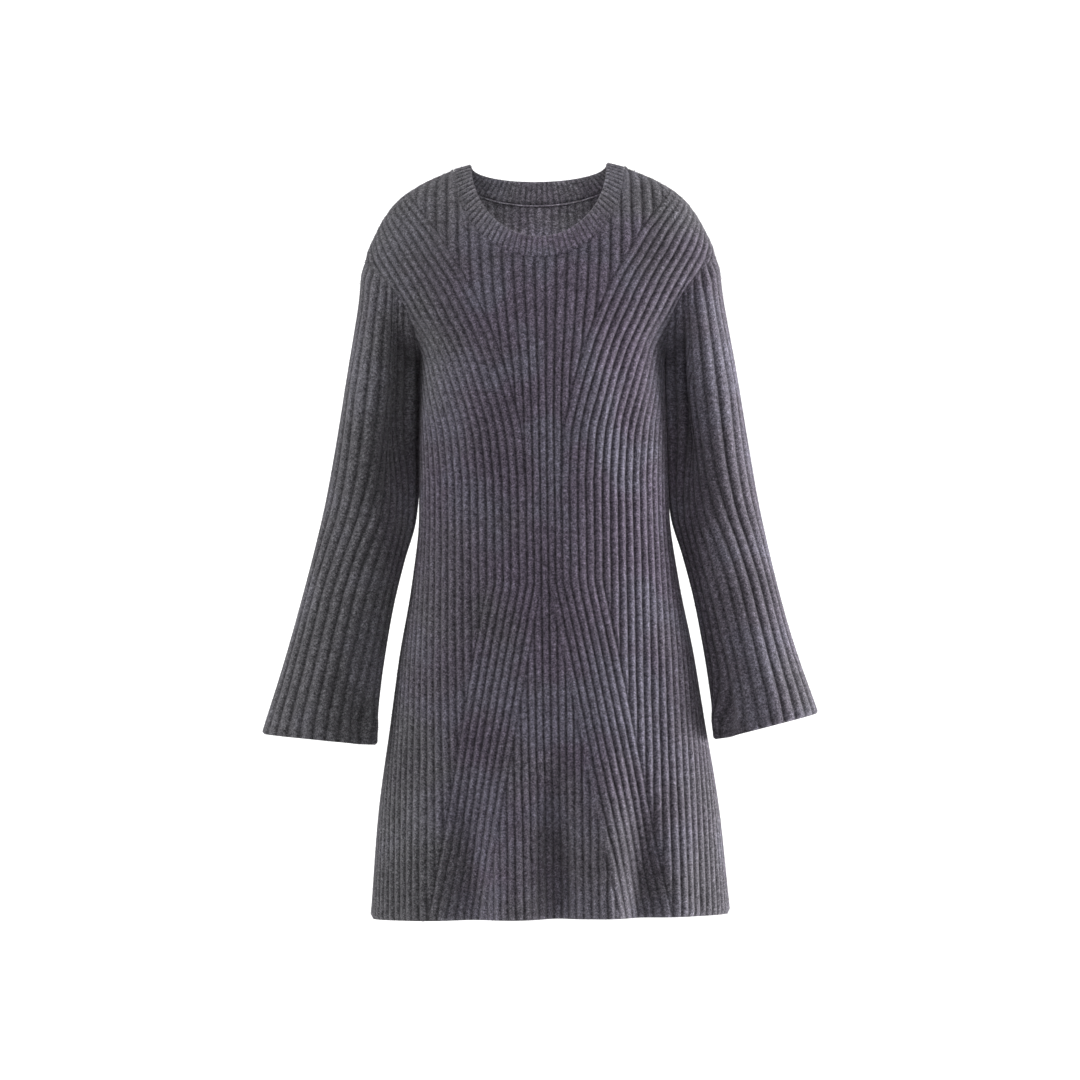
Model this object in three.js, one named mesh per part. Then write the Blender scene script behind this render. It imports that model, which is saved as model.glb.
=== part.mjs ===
// A long-sleeved sweater dress in ribbed wool, hollow, in the form it has when it is worn.
// Millimetres, +Z up. The front faces -Y and +X is on the viewer's right.
// The origin is in the middle of the neck opening, level with the neckband's two highest points.
// It is knitted in five pieces: a front, a back, two sleeves and a rib neckband.
import * as THREE from "three";
import { mergeVertices } from "three/addons/utils/BufferGeometryUtils.js";

// Driving sizes of the cloth
const hemLevel = -860;
const seamGap = 0.3;
const grooveWall = 1.4; // the cloth in the grooves between ribs
const ribHeight = 1.6; // from a groove to a rib's crown
const fullWall = grooveWall + ribHeight;
const edgeWall = grooveWall + ribHeight / 2; // the cloth where it is sewn

// The front and the back, to the cloth's inner face. wide is half the width, front and back are
// the depths on each side of the side seams, and power is how square the section is.
const bodySections = [
  { z: hemLevel, wide: 203, front: 108, back: 106, power: 2.5 },
  { z: -740, wide: 192, front: 108, back: 110, power: 2.6 },
  { z: -640, wide: 177, front: 105, back: 111, power: 2.7 },
  { z: -560, wide: 165, front: 100, back: 106, power: 2.7 },
  { z: -480, wide: 150, front: 93, back: 95, power: 2.7 },
  { z: -400, wide: 140, front: 87, back: 83, power: 2.7 },
  { z: -320, wide: 138.5, front: 91, back: 82, power: 2.7 },
  { z: -219, wide: 136.5, front: 98, back: 88, power: 2.6 },
  { z: -165, wide: 139.5, front: 90, back: 87, power: 2.5 },
  { z: -109, wide: 195, front: 75, back: 78, power: 2.4 },
  { z: -60, wide: 175.5, front: 56, back: 62, power: 2.4 },
  { z: -28, wide: 139, front: 36, back: 42, power: 2.4 },
  { z: -9, wide: 97, front: 18, back: 22, power: 2.4 },
];

// The shoulder line from the shoulder point to the neck, as the half width at each level
const shoulderLine = [
  { z: -109, wide: 195 },
  { z: -96, wide: 192 },
  { z: -81, wide: 186 },
  { z: -66.5, wide: 179.5 },
  { z: -53, wide: 170.5 },
  { z: -42, wide: 160 },
  { z: -33.5, wide: 149 },
  { z: -26.5, wide: 136.5 },
  { z: -19.5, wide: 121.5 },
  { z: -13, wide: 106 },
  { z: -9, wide: 97 },
];

// The armhole seam, from the underarm to the shoulder point
const underarm = { x: 139.5, z: -219 };
const shoulderPoint = { x: 195, z: -109 };
const armholeDepth = 52; // how far it reaches to the front and to the back
const armholeBow = 13; // how far it bows in from the straight line between those two points
const armholeTurns = [0, 25, 50, 75, 100, 125, 150, 180];
const seamEase = 26; // how far from that seam the cloth begins to turn into it
const underarmInset = 3; // how far the side lies inside the seam at the underarm

// The neckline, an ellipse on the cloth, and the neckband's rim above it
const neckWide = 97;
const neckTop = -9;
const neckDrop = { front: 100, back: 37 };
const neckSteps = { front: [90, 75, 62, 50, 38, 26, 14, 0], back: [90, 66, 42, 20, 0] };
const rimWide = 77;
const rimTop = -4;
const rimDrop = { front: 83, back: 16 };
const rimLean = 0.86; // the rim's depth as a share of the seam's
const bandGroove = 2.8;
const bandRib = 1.2;
const bandRibs = 90;
const bandEase = 0.1; // the share of its height over which it turns into its seam

// The levels of the rows in the skirt and the waist, and on the back above the armholes
const lowLevels = [hemLevel, -805, -750, -695, -640, -585, -530, -478, -430, -380, -330, -290, -252];
const backLevels = [-90, -66];

// The ribs, as distances from the middle measured round the cloth
const waistPitch = 8.2; // the middle ribs at the waist
const sidePitch = 9.2; // the outer ribs at the waist
const skirtPitch = 8.5; // the new ribs in the middle of the skirt
const bandTop = -478; // where the middle ribs begin to swing out
const bandSwing = 0.19; // how far they swing for each millimetre down
const bandCount = 6; // ribs in the swung band, after its first
const middleRibs = 3; // middle ribs that run on below the shaping line, with the line itself

// The shaping line on the chest, which the outer ribs follow and the middle ribs end on.
// middlePitch and outerPitch are the rib spacing on its two sides.
const shapingLine = [
  { z: -360, at: 24.6, middlePitch: waistPitch, outerPitch: sidePitch },
  { z: -310, at: 28, middlePitch: 8.3, outerPitch: 9.4 },
  { z: -256, at: 40, middlePitch: 8.8, outerPitch: 10 },
  { z: -204, at: 56, middlePitch: 10.2, outerPitch: 10.6 },
  { z: -168, at: 71, middlePitch: 11.2, outerPitch: 11 },
  { z: -133, at: 88, middlePitch: 12, outerPitch: 11 },
  { z: -105, at: 105, middlePitch: 12.3, outerPitch: 11 },
  { z: -76, at: 123, middlePitch: 12.4, outerPitch: 11 },
  { z: -30, at: 165, middlePitch: 12.4, outerPitch: 11 },
  { z: neckTop, at: 190, middlePitch: 12.4, outerPitch: 11 },
];

// The skirt's flutes at the hem: where each lies round the front or the back, its half width,
// how far it stands out, and the level where it begins
const flutes = {
  front: [
    { at: -150, half: 34, out: 5, from: -640 },
    { at: -92, half: 34, out: -10, from: -600 },
    { at: -38, half: 32, out: 8, from: -640 },
    { at: 10, half: 30, out: -12, from: -620 },
    { at: 72, half: 36, out: 9, from: -600 },
    { at: 112, half: 24, out: -7, from: -680 },
    { at: 150, half: 30, out: 5, from: -660 },
  ],
  back: [
    { at: -140, half: 34, out: -8, from: -620 },
    { at: -80, half: 34, out: 8, from: -600 },
    { at: -20, half: 34, out: -11, from: -610 },
    { at: 45, half: 34, out: 9, from: -640 },
    { at: 105, half: 32, out: -8, from: -600 },
    { at: 160, half: 28, out: 5, from: -680 },
  ],
};

// The sleeves, to the cloth's outer face, from below the armhole to the cuff: the inner and the
// outer edge of each ring, half its depth, and how far forward its middle lies
const sleeveRings = [
  { inX: 142.4, inZ: -228, outX: 201, outZ: -120, deep: 58, forward: 0 },
  { inX: 143.4, inZ: -242, outX: 205, outZ: -145, deep: 62, forward: 0 },
  { inX: 142.6, inZ: -266, outX: 213, outZ: -184, deep: 65, forward: -1 },
  { inX: 142.4, inZ: -292, outX: 222, outZ: -232, deep: 63, forward: -3 },
  { inX: 142.4, inZ: -324, outX: 231, outZ: -284, deep: 60, forward: -4 },
  { inX: 142.8, inZ: -362, outX: 240, outZ: -336, deep: 57, forward: -4 },
  { inX: 145.5, inZ: -404, outX: 249, outZ: -388, deep: 53, forward: -2 },
  { inX: 159, inZ: -450, outX: 260, outZ: -438, deep: 50, forward: 2 },
  { inX: 171, inZ: -498, outX: 272, outZ: -486, deep: 48, forward: 7 },
  { inX: 180, inZ: -546, outX: 285, outZ: -534, deep: 47, forward: 12 },
  { inX: 187, inZ: -592, outX: 299, outZ: -580, deep: 46, forward: 17 },
  { inX: 191, inZ: -630, outX: 311, outZ: -616, deep: 47, forward: 21 },
  { inX: 192, inZ: -661, outX: 319, outZ: -640, deep: 48, forward: 24 },
];
const sleevePower = 2.2;
const sleeveRibs = 24;
const sleeveInside = 16;
const sleeveCuff = sleeveRings[sleeveRings.length - 1];

// How each arm hangs: the sleeve on the viewer's left swings out and its cuff is the wider one
const armHang = {
  left: { side: 1, swing: -8, widen: -6, dropOuter: 8 },
  right: { side: -1, swing: 8, widen: 5, dropOuter: -6 },
};

const { clamp, lerp, degToRad, smoothstep } = THREE.MathUtils;

// A smooth curve through one column of a table sorted by z. Its slopes never overshoot the rows.
function through(rows, key) {
  const x = rows.map((row) => row.z);
  const y = rows.map((row) => row[key]);
  const rise = x.slice(1).map((end, i) => (y[i + 1] - y[i]) / (end - x[i]));
  const slope = x.map((_, i) => {
    const before = rise[Math.max(i - 1, 0)];
    const after = rise[Math.min(i, rise.length - 1)];
    return before * after <= 0 ? 0 : (2 * before * after) / (before + after);
  });
  return (level) => {
    const at = clamp(level, x[0], x[x.length - 1]);
    const i = clamp(x.findIndex((start) => start > at) - 1, -1, rise.length - 1);
    const k = i < 0 ? rise.length - 1 : i;
    const span = x[k + 1] - x[k];
    const t = (at - x[k]) / span;
    const ends = y[k] * (1 + 2 * t) * (1 - t) ** 2 + y[k + 1] * t ** 2 * (3 - 2 * t);
    return ends + span * (slope[k] * t * (1 - t) ** 2 - slope[k + 1] * t ** 2 * (1 - t));
  };
}

const tableWidth = through(bodySections, "wide");
const bodyPower = through(bodySections, "power");
const bodyDepth = { front: through(bodySections, "front"), back: through(bodySections, "back") };
const shoulderWidth = through(shoulderLine, "wide");
const lineAt = through(shapingLine, "at");
const middlePitch = through(shapingLine, "middlePitch");
const outerPitch = through(shapingLine, "outerPitch");

// A point of the armhole seam on the right-hand side, to the front for turn up to half a turn
function armhole(turn) {
  const chord = new THREE.Vector3(shoulderPoint.x - underarm.x, 0, shoulderPoint.z - underarm.z);
  const bodyward = new THREE.Vector3(-chord.z, 0, chord.x).normalize();
  return new THREE.Vector3(underarm.x, -armholeDepth * Math.sin(turn), underarm.z)
    .addScaledVector(chord, (1 - Math.cos(turn)) / 2)
    .addScaledVector(bodyward, armholeBow * Math.sin(turn) ** 2);
}

// The way the cloth's thickness goes at the armhole: down at the underarm, forward at the front
// and out at the shoulder point
function armholeNormal(turn) {
  const end = turn < Math.PI / 2 ? new THREE.Vector3(0, 0, -1) : new THREE.Vector3(0.96, 0, 0.27);
  return end
    .multiplyScalar(Math.abs(Math.cos(turn)))
    .addScaledVector(new THREE.Vector3(0.15, -1, -0.1), Math.sin(turn))
    .normalize();
}

// The way across the armhole seam, from the body to the sleeve
function acrossArmhole(turn) {
  const step = 0.01;
  const along = armhole(turn + step).sub(armhole(turn - step));
  const across = along.cross(armholeNormal(turn)).normalize();
  return across.x - across.z > 0 ? across : across.negate();
}

// The turn of the armhole at a level, found by halving
function turnAt(level) {
  let [low, high] = [0, Math.PI];
  for (let i = 0; i < 40; i++) {
    const middle = (low + high) / 2;
    if (armhole(middle).z < level) low = middle;
    else high = middle;
  }
  return (low + high) / 2;
}

// Half the width of the section at a level. Between underarm and shoulder point it is the width
// that takes the section through the armhole seam.
function bodyWidth(level, face) {
  if (level <= underarm.z) return tableWidth(level);
  if (level >= shoulderPoint.z) return shoulderWidth(level);
  const turn = turnAt(level);
  const seam = armhole(turn);
  const power = bodyPower(level);
  const share = (-seam.y / bodyDepth[face](level)) ** power;
  const inset = underarmInset * Math.max(0, Math.cos(turn)) ** 0.5;
  return (seam.x - inset) / (1 - share) ** (1 / power);
}

// A point of the cloth's inner face, on the right-hand side. angle is 0 in the middle of the
// front or back and a quarter turn where the section is widest.
function bodyPoint(face, level, angle) {
  const power = bodyPower(level);
  const across = Math.sin(angle);
  const depth = bodyDepth[face](level) * Math.max(0, 1 - Math.abs(across) ** power) ** (1 / power);
  const outward = face === "front" ? -1 : 1;
  return new THREE.Vector3(bodyWidth(level, face) * across, outward * depth, level);
}

// The outward normal of the inner face there
function bodyNormal(face, level, angle) {
  const turn = Math.min(angle, Math.PI / 2 - 0.02);
  const across = bodyPoint(face, level, turn + 0.01).sub(bodyPoint(face, level, turn - 0.01));
  const up = bodyPoint(face, level + 0.5, turn).sub(bodyPoint(face, level - 0.5, turn));
  const normal = across.cross(up).normalize();
  return face === "front" ? normal : normal.negate();
}

// How far the flutes move the cloth outward, at a signed distance from the middle
function fluteOut(face, level, at, room) {
  const calm = smoothstep(room, 0, 40);
  return flutes[face].reduce((sum, flute) => {
    const grown = smoothstep(flute.from - level, 0, flute.from - hemLevel);
    const away = clamp((at - flute.at) / flute.half, -1, 1);
    return sum + flute.out * grown * calm * Math.cos((away * Math.PI) / 2) ** 2;
  }, 0);
}

// One level of the front or back: its angles, its lengths round the cloth from the middle, and
// where it starts and ends. turn is set on a row that ends at the armhole.
function bodyRow(face, row) {
  const { z } = row;
  const steps = 90;
  const angles = Array.from({ length: steps + 1 }, (_, i) => (i / steps) * (Math.PI / 2));
  const lengths = [0];
  for (let i = 1; i <= steps; i++) {
    const before = bodyPoint(face, z, angles[i - 1]);
    lengths.push(lengths[i - 1] + bodyPoint(face, z, angles[i]).distanceTo(before));
  }
  const look = (from, to, value) => {
    const i = clamp(from.findIndex((v) => v >= value), 1, steps);
    return lerp(to[i - 1], to[i], clamp((value - from[i - 1]) / (from[i] - from[i - 1]), 0, 1));
  };
  const width = bodyWidth(z, face);
  const endX = row.turn === undefined ? width : armhole(row.turn).x;
  const lengthAtX = (x) => look(angles, lengths, Math.asin(clamp(x / width, 0, 1)));
  const startX = row.neck === undefined ? 0 : neckWide * Math.cos(row.neck);
  return {
    ...row,
    angleAt: (length) => look(lengths, angles, length),
    start: lengthAtX(startX),
    end: endX >= width ? lengths[steps] : lengthAtX(endX),
  };
}

// The ribs that cross a level on one half, from the middle outward, with a name for each
function ribsAt(level) {
  const ribs = [];
  const line = lineAt(level);
  const swung = waistPitch + bandSwing * Math.max(0, bandTop - level);
  const bandPitch = lerp(waistPitch, sidePitch, 0.75);
  const bandEnd = swung + bandCount * bandPitch;
  const low = level < bandTop;
  for (let i = 1; low && i * skirtPitch < swung - 0.6 * skirtPitch; i++)
    ribs.push({ name: `skirt${i}`, at: i * skirtPitch });
  const pitch = middlePitch(level);
  for (let i = 1; i < middleRibs || (!low && i * pitch < line - 0.6 * pitch); i++)
    ribs.push({ name: `middle${i}`, at: low ? swung + (i - 1) * bandPitch : i * pitch });
  for (let i = 0; i < 30; i++) {
    const straight = line + i * outerPitch(level);
    const banded = i <= bandCount - middleRibs + 1;
    const at = low && banded ? swung + (i + middleRibs - 1) * bandPitch : straight;
    if (banded || !low || straight > bandEnd + 0.8 * sidePitch) ribs.push({ name: `outer${i}`, at });
  }
  return ribs;
}

// A closed surface made of triangles between named rows of points
class Skin {
  constructor() {
    this.corners = [];
  }
  triangle(a, b, c, turned) {
    if (a.equals(b) || b.equals(c) || a.equals(c)) return;
    this.corners.push(...(turned ? [a, c, b] : [a, b, c]));
  }
  // Joins two rows of stations { point, at, name }. Stations with the same name are joined to
  // each other, and those between them by their share of the way.
  zip(lower, upper, turned) {
    const shared = lower.filter((s) => s.name && upper.some((other) => other.name === s.name));
    for (let k = 1; k < shared.length; k++) {
      const part = (row) => {
        const first = row.findIndex((s) => s.name === shared[k - 1].name);
        const last = row.findIndex((s) => s.name === shared[k].name);
        const span = row[last].at - row[first].at || 1;
        return row
          .slice(first, last + 1)
          .map((s) => ({ point: s.point, share: (s.at - row[first].at) / span }));
      };
      const [low, high] = [part(lower), part(upper)];
      let [i, j] = [0, 0];
      while (i < low.length - 1 || j < high.length - 1) {
        const stepLow =
          j === high.length - 1 || (i < low.length - 1 && low[i + 1].share <= high[j + 1].share);
        if (stepLow) this.triangle(low[i].point, low[++i].point, high[j].point, turned);
        else this.triangle(low[i].point, high[++j].point, high[j - 1].point, turned);
      }
    }
  }
  // The cloth's edge between two places of a seam, with the diagonal that its neighbour has too
  rim(a, b, turned) {
    const [low, high] = b.inner.z < a.inner.z ? [b, a] : [a, b];
    const way = low === a ? turned : !turned;
    this.triangle(low.inner, high.inner, high.outer, way);
    this.triangle(low.inner, high.outer, low.outer, way);
  }
  mesh(name, material) {
    let volume = 0;
    for (let i = 0; i < this.corners.length; i += 3) {
      const [a, b, c] = this.corners.slice(i, i + 3);
      volume += a.dot(new THREE.Vector3().crossVectors(b, c));
    }
    const round = volume < 0 ? this.corners.toReversed() : this.corners;
    const flat = new THREE.BufferGeometry().setFromPoints(round);
    const solid = mergeVertices(flat, 1e-4);
    solid.computeVertexNormals();
    const made = new THREE.Mesh(solid, material);
    made.name = name;
    return made;
  }
}

// The levels of one panel from hem to neck, each with its place on the armhole or the neckline
function panelRows(face) {
  const low = lowLevels.map((z) => ({ z }));
  const arm = armholeTurns.map((turn) => ({ z: armhole(degToRad(turn)).z, turn: degToRad(turn) }));
  const between = face === "back" ? backLevels.map((z) => ({ z })) : [];
  const neck = neckSteps[face].map((angle) => ({
    z: neckTop - neckDrop[face] * Math.sin(degToRad(angle)),
    neck: degToRad(angle),
  }));
  // The front's neckline starts level with the shoulder points
  if (face === "front") neck[0].turn = arm.pop().turn;
  return [...low, ...arm, ...between, ...neck];
}

// One half of the front or back panel. side is 1 on the viewer's right.
function halfPanel(skin, face, side) {
  const outward = face === "front" ? -1 : 1;
  const turned = side * outward > 0;
  const mirror = (v) => v.set(v.x * side, v.y, v.z);
  const inside = 9;

  // The inner and outer points at one place of a row
  const cloth = (row, length, thick, edge) => {
    const angle = row.angleAt(length);
    let inner = bodyPoint(face, row.z, angle);
    let normal = bodyNormal(face, row.z, angle);
    if (edge === "end" && row.turn !== undefined) {
      inner = armhole(row.turn).addScaledVector(acrossArmhole(row.turn), -seamGap / 2);
      normal = armholeNormal(row.turn);
      if (face === "back") [inner.y, normal.y] = [-inner.y, -normal.y];
    }
    if (edge === "end" && !(row.turn > 0.01 && row.turn < Math.PI - 0.01)) {
      inner.y = (outward * seamGap) / 2;
      normal.setY(0).normalize();
    }
    const near = clamp(1 - (row.end - length) / seamEase, 0, 1);
    if (!edge && row.turn !== undefined && near > 0) {
      const bent = armholeNormal(row.turn);
      if (face === "back") bent.y = -bent.y;
      normal = normal.lerp(bent, near).normalize();
    }
    if (edge === "start" && row.neck === undefined) normal.setX(0).normalize();
    inner.addScaledVector(normal, fluteOut(face, row.z, side * length, row.end - length));
    const outer = inner.clone().addScaledVector(normal, thick);
    return { inner: mirror(inner), outer: mirror(outer) };
  };

  const rows = panelRows(face)
    .map((row) => bodyRow(face, row))
    .map((row) => {
      const apex = row.end - row.start < 1;
      const bottom = row.neck !== undefined && row.start < 1;
      const open = row.neck !== undefined && !bottom;
      const start = bottom ? { ...row, neck: undefined } : row;
      const first = cloth(start, row.start, open ? edgeWall : fullWall, apex ? "end" : "start");
      const last = cloth(row, row.end, edgeWall, "end");
      const outer = [{ point: first.outer, at: row.start, name: "start" }];
      const inner = [{ point: first.inner, at: row.start, name: "start" }];
      if (!apex) {
        const crowns = ribsAt(row.z).filter((r) => r.at > row.start + 4 && r.at < row.end - 4);
        let before = row.start;
        for (const { name, at } of crowns) {
          const middle = (before + at) / 2;
          outer.push({ point: cloth(row, middle, grooveWall).outer, at: middle });
          outer.push({ point: cloth(row, at, fullWall).outer, at, name });
          before = at;
        }
        const middle = (before + row.end) / 2;
        outer.push({ point: cloth(row, middle, grooveWall).outer, at: middle });
        for (let i = 1; i < inside; i++) {
          const at = lerp(row.start, row.end, i / inside);
          inner.push({ point: cloth(row, at, 0).inner, at });
        }
        outer.push({ point: last.outer, at: row.end, name: "end" });
        inner.push({ point: last.inner, at: row.end, name: "end" });
      }
      const ends = { open: row.neck !== undefined, first, last: apex ? first : last };
      return { outer, inner, ...ends, apex };
    });

  const named = (row, apex) => (apex ? [row[0], { ...row[0], name: "end" }] : row);
  skin.zip(rows[0].outer, rows[0].inner, !turned);
  for (let i = 1; i < rows.length; i++) {
    const [low, high] = [rows[i - 1], rows[i]];
    skin.zip(low.outer, named(high.outer, high.apex), turned);
    skin.zip(low.inner, named(high.inner, high.apex), !turned);
    skin.rim(low.last, high.last, turned);
    if (low.open) skin.rim(low.first, high.first, !turned);
  }
}

// A front or back panel, from its two halves
function panel(face, material) {
  const skin = new Skin();
  for (const side of [-1, 1]) halfPanel(skin, face, side);
  return skin.mesh(`${face}_panel`, material);
}

// A point of a closed sleeve ring with the cloth's normal, at an angle that is 0 at its inner
// edge and a quarter turn in front
function ringPoint(ring, angle, inset) {
  const along = new THREE.Vector3(ring.outX - ring.inX, 0, ring.outZ - ring.inZ);
  const half = along.length() / 2 - inset;
  const deep = ring.deep - inset;
  along.normalize();
  const bend = (v) => Math.sign(v) * Math.abs(v) ** (2 / sleevePower);
  const [c, s] = [bend(-Math.cos(angle)), bend(Math.sin(angle))];
  const middle = new THREE.Vector3(
    (ring.inX + ring.outX) / 2,
    -ring.forward,
    (ring.inZ + ring.outZ) / 2,
  );
  const point = middle.addScaledVector(along, half * c).setY(-ring.forward - deep * s);
  const steep = (v) => Math.sign(v) * Math.abs(v) ** (sleevePower - 1);
  const normal = along
    .clone()
    .multiplyScalar(steep(c) / half)
    .setY(-steep(s) / deep)
    .normalize();
  return { point, normal };
}

// Stations round a ring, evenly spaced along the cloth. Every second one is a rib's crown.
function ringStations(ring, count, side, thick) {
  const steps = 240;
  const angles = Array.from({ length: steps + 1 }, (_, i) => (i / steps) * 2 * Math.PI);
  const lengths = [0];
  for (let i = 1; i <= steps; i++) {
    const before = ringPoint(ring, angles[i - 1], fullWall).point;
    lengths.push(lengths[i - 1] + ringPoint(ring, angles[i], fullWall).point.distanceTo(before));
  }
  return Array.from({ length: count + 1 }, (_, i) => {
    const want = ((i % count) / count) * lengths[steps];
    const k = Math.max(1, lengths.findIndex((length) => length >= want));
    const share = (want - lengths[k - 1]) / (lengths[k] - lengths[k - 1]);
    const { point, normal } = ringPoint(ring, lerp(angles[k - 1], angles[k], share), fullWall);
    point.addScaledVector(normal, thick(i));
    point.x *= side;
    return { point, at: i / count, name: i === 0 ? "start" : i === count ? "end" : undefined };
  });
}

// A sleeve: its armhole ring takes the body's own seam points, moved to its side of the gap
function sleeve(name, hang, material) {
  const skin = new Skin();
  const { side } = hang;
  const turns = armholeTurns.map(degToRad);
  const back = turns.slice(0, -1).reverse();
  const loop = [...turns.map((turn) => [turn, 1]), ...back.map((turn) => [turn, -1])];
  const seam = { outer: [], inner: [] };
  const places = loop.map(([turn, front]) => {
    const inner = armhole(turn).addScaledVector(acrossArmhole(turn), seamGap / 2);
    const normal = armholeNormal(turn);
    if (turn < 0.01 || turn > Math.PI - 0.01) normal.setY(0).normalize();
    for (const v of [inner, normal]) v.set(v.x * side, v.y * front, v.z);
    return { inner, outer: inner.clone().addScaledVector(normal, edgeWall) };
  });
  const walk = [0];
  for (let i = 1; i < places.length; i++)
    walk.push(walk[i - 1] + places[i].inner.distanceTo(places[i - 1].inner));
  const end = places.length - 1;
  places.forEach(({ inner, outer }, i) => {
    const station = { at: walk[i] / walk[end], name: i === 0 ? "start" : i === end ? "end" : undefined };
    seam.inner.push({ point: inner, ...station });
    seam.outer.push({ point: outer, ...station });
  });
  const top = sleeveRings[0];
  const rings = sleeveRings.map((ring) => {
    const low = smoothstep((top.inZ - ring.inZ) / (top.inZ - sleeveCuff.inZ), 0, 1);
    const inX = ring.inX + low * hang.swing * 0.6;
    const outX = ring.outX + low * (hang.swing + hang.widen);
    return { ...ring, inX, outX, outZ: ring.outZ + low ** 6 * hang.dropOuter };
  });
  const crown = (i) => (i % 2 ? grooveWall : fullWall);
  const stationsOf = (count, thick) => rings.map((ring) => ringStations(ring, count, side, thick));
  const outer = [seam.outer, ...stationsOf(2 * sleeveRibs, crown)];
  const inner = [seam.inner, ...stationsOf(sleeveInside, () => 0)];
  const turned = side < 0;
  const last = outer.length - 1;
  skin.zip(outer[last], inner[last], turned);
  for (let i = 1; i < places.length; i++) skin.rim(places[i - 1], places[i], turned);
  for (let i = 1; i <= last; i++) {
    skin.zip(outer[i - 1], outer[i], turned);
    skin.zip(inner[i - 1], inner[i], !turned);
  }
  return skin.mesh(name, material);
}

// The neckband's inner face at an angle of the neckline: 0 share at its seam, 1 at its rim
function bandPoint(face, angle, share) {
  const level = neckTop - neckDrop[face] * Math.sin(angle);
  const across = clamp((neckWide * Math.cos(angle)) / bodyWidth(level, face), 0, 1);
  const bodyAngle = Math.asin(across);
  const seam = bodyPoint(face, level, bodyAngle);
  if (Math.sin(angle) < 0.001) seam.y = 0;
  const rim = new THREE.Vector3(
    rimWide * Math.cos(angle),
    seam.y * rimLean,
    rimTop - rimDrop[face] * Math.sin(angle),
  );
  const toRim = rim.clone().sub(seam);
  const panelNormal = bodyNormal(face, level, bodyAngle);
  if (Math.sin(angle) < 0.001) panelNormal.setY(0).normalize();
  if (Math.cos(angle) < 0.001) panelNormal.setX(0).normalize();
  const normal = panelNormal.clone();
  normal.addScaledVector(toRim, -normal.dot(toRim) / toRim.lengthSq()).normalize();
  const upward = toRim.clone().addScaledVector(panelNormal, -panelNormal.dot(toRim)).normalize();
  seam.addScaledVector(upward, seamGap);
  normal.lerp(panelNormal, clamp(1 - share / bandEase, 0, 1)).normalize();
  return { point: seam.lerp(rim, share), normal };
}

// The neckband, a closed ring with its ribs across it
function neckband(material) {
  const skin = new Skin();
  const quarter = (face) => neckSteps[face].map((step) => [face, degToRad(step)]);
  // The seam's stations go once round: right front, right back, left back, left front
  const half = [...quarter("front"), ...quarter("back").reverse().slice(1)];
  const stations = [
    ...half.map(([face, angle]) => [face, angle, 1]),
    ...half.slice(0, -1).reverse().map(([face, angle]) => [face, angle, -1]),
  ];
  const place = ([face, angle, side], share, thick) => {
    const { point, normal } = bandPoint(face, angle, share);
    point.addScaledVector(normal, thick);
    return point.set(point.x * side, point.y, point.z);
  };
  // A fine walk round the rim, for even spacing
  const fine = [];
  for (const [face, from, to] of [["front", 90, 0], ["back", 0, 90]])
    for (let i = 0; i <= 90; i++) fine.push([face, degToRad(lerp(from, to, i / 90)), 1]);
  fine.push(...fine.slice(0, -1).reverse().map(([face, angle]) => [face, angle, -1]));
  const walk = [0];
  const middle = fine.map((f) => place(f, 0.5, 0));
  for (let i = 1; i < fine.length; i++) walk.push(walk[i - 1] + middle[i].distanceTo(middle[i - 1]));
  const total = walk[walk.length - 1];
  const shareOf = (point) => {
    let best = 0;
    middle.forEach((m, i) => {
      if (m.distanceTo(point) < middle[best].distanceTo(point)) best = i;
    });
    return walk[best] / total;
  };
  const atShare = (share) => {
    const want = share * total;
    const i = Math.max(1, walk.findIndex((length) => length >= want));
    const [a, b] = [fine[i - 1], fine[i]];
    const t = clamp((want - walk[i - 1]) / (walk[i] - walk[i - 1] || 1), 0, 1);
    return a[0] === b[0] && a[2] === b[2] ? [a[0], lerp(a[1], b[1], t), a[2]] : t < 0.5 ? a : b;
  };
  const close = (row) => {
    const named = row.map((s, i) => ({ ...s, name: i === 0 ? "start" : undefined }));
    return [...named, { ...named[0], at: 1, name: "end" }];
  };
  const seamRow = (thick) =>
    close(
      stations.slice(0, -1).map((station, i) => ({
        point: place(station, 0, thick),
        at: i === 0 ? 0 : shareOf(place(station, 0.5, 0)),
      })),
    );
  const ribRow = (count, share, thick) =>
    close(
      Array.from({ length: count }, (_, i) => ({
        point: place(atShare(i / count), share, thick(i)),
        at: i / count,
      })),
    );
  const crown = (i) => bandGroove + (i % 2 ? 0 : bandRib);
  const [seamInner, seamOuter] = [seamRow(0), seamRow(bandGroove)];
  const seam = seamInner.map((s, i) => ({ inner: s.point, outer: seamOuter[i].point }));
  for (let i = 1; i < seam.length; i++) skin.rim(seam[i - 1], seam[i], false);
  const rows = [
    seamOuter,
    ribRow(2 * bandRibs, bandEase, crown),
    ribRow(2 * bandRibs, 0.93, crown),
    ribRow(60, 1, () => bandGroove * 0.75),
    ribRow(60, 1, () => 0.4),
    seamInner,
  ];
  for (let i = 1; i < rows.length; i++) skin.zip(rows[i - 1], rows[i], false);
  return skin.mesh("neckband", material);
}

// The wool, one material for each piece so that each can be told apart
const wool = (color) => new THREE.MeshStandardMaterial({ color, roughness: 0.95, metalness: 0 });
const dress = new THREE.Group();
dress.add(panel("front", wool(0x544c59)));
dress.add(panel("back", wool(0x4e4852)));
dress.add(sleeve("sleeve_left", armHang.left, wool(0x56505a)));
dress.add(sleeve("sleeve_right", armHang.right, wool(0x4a474c)));
dress.add(neckband(wool(0x5a5260)));

export default dress;
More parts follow.
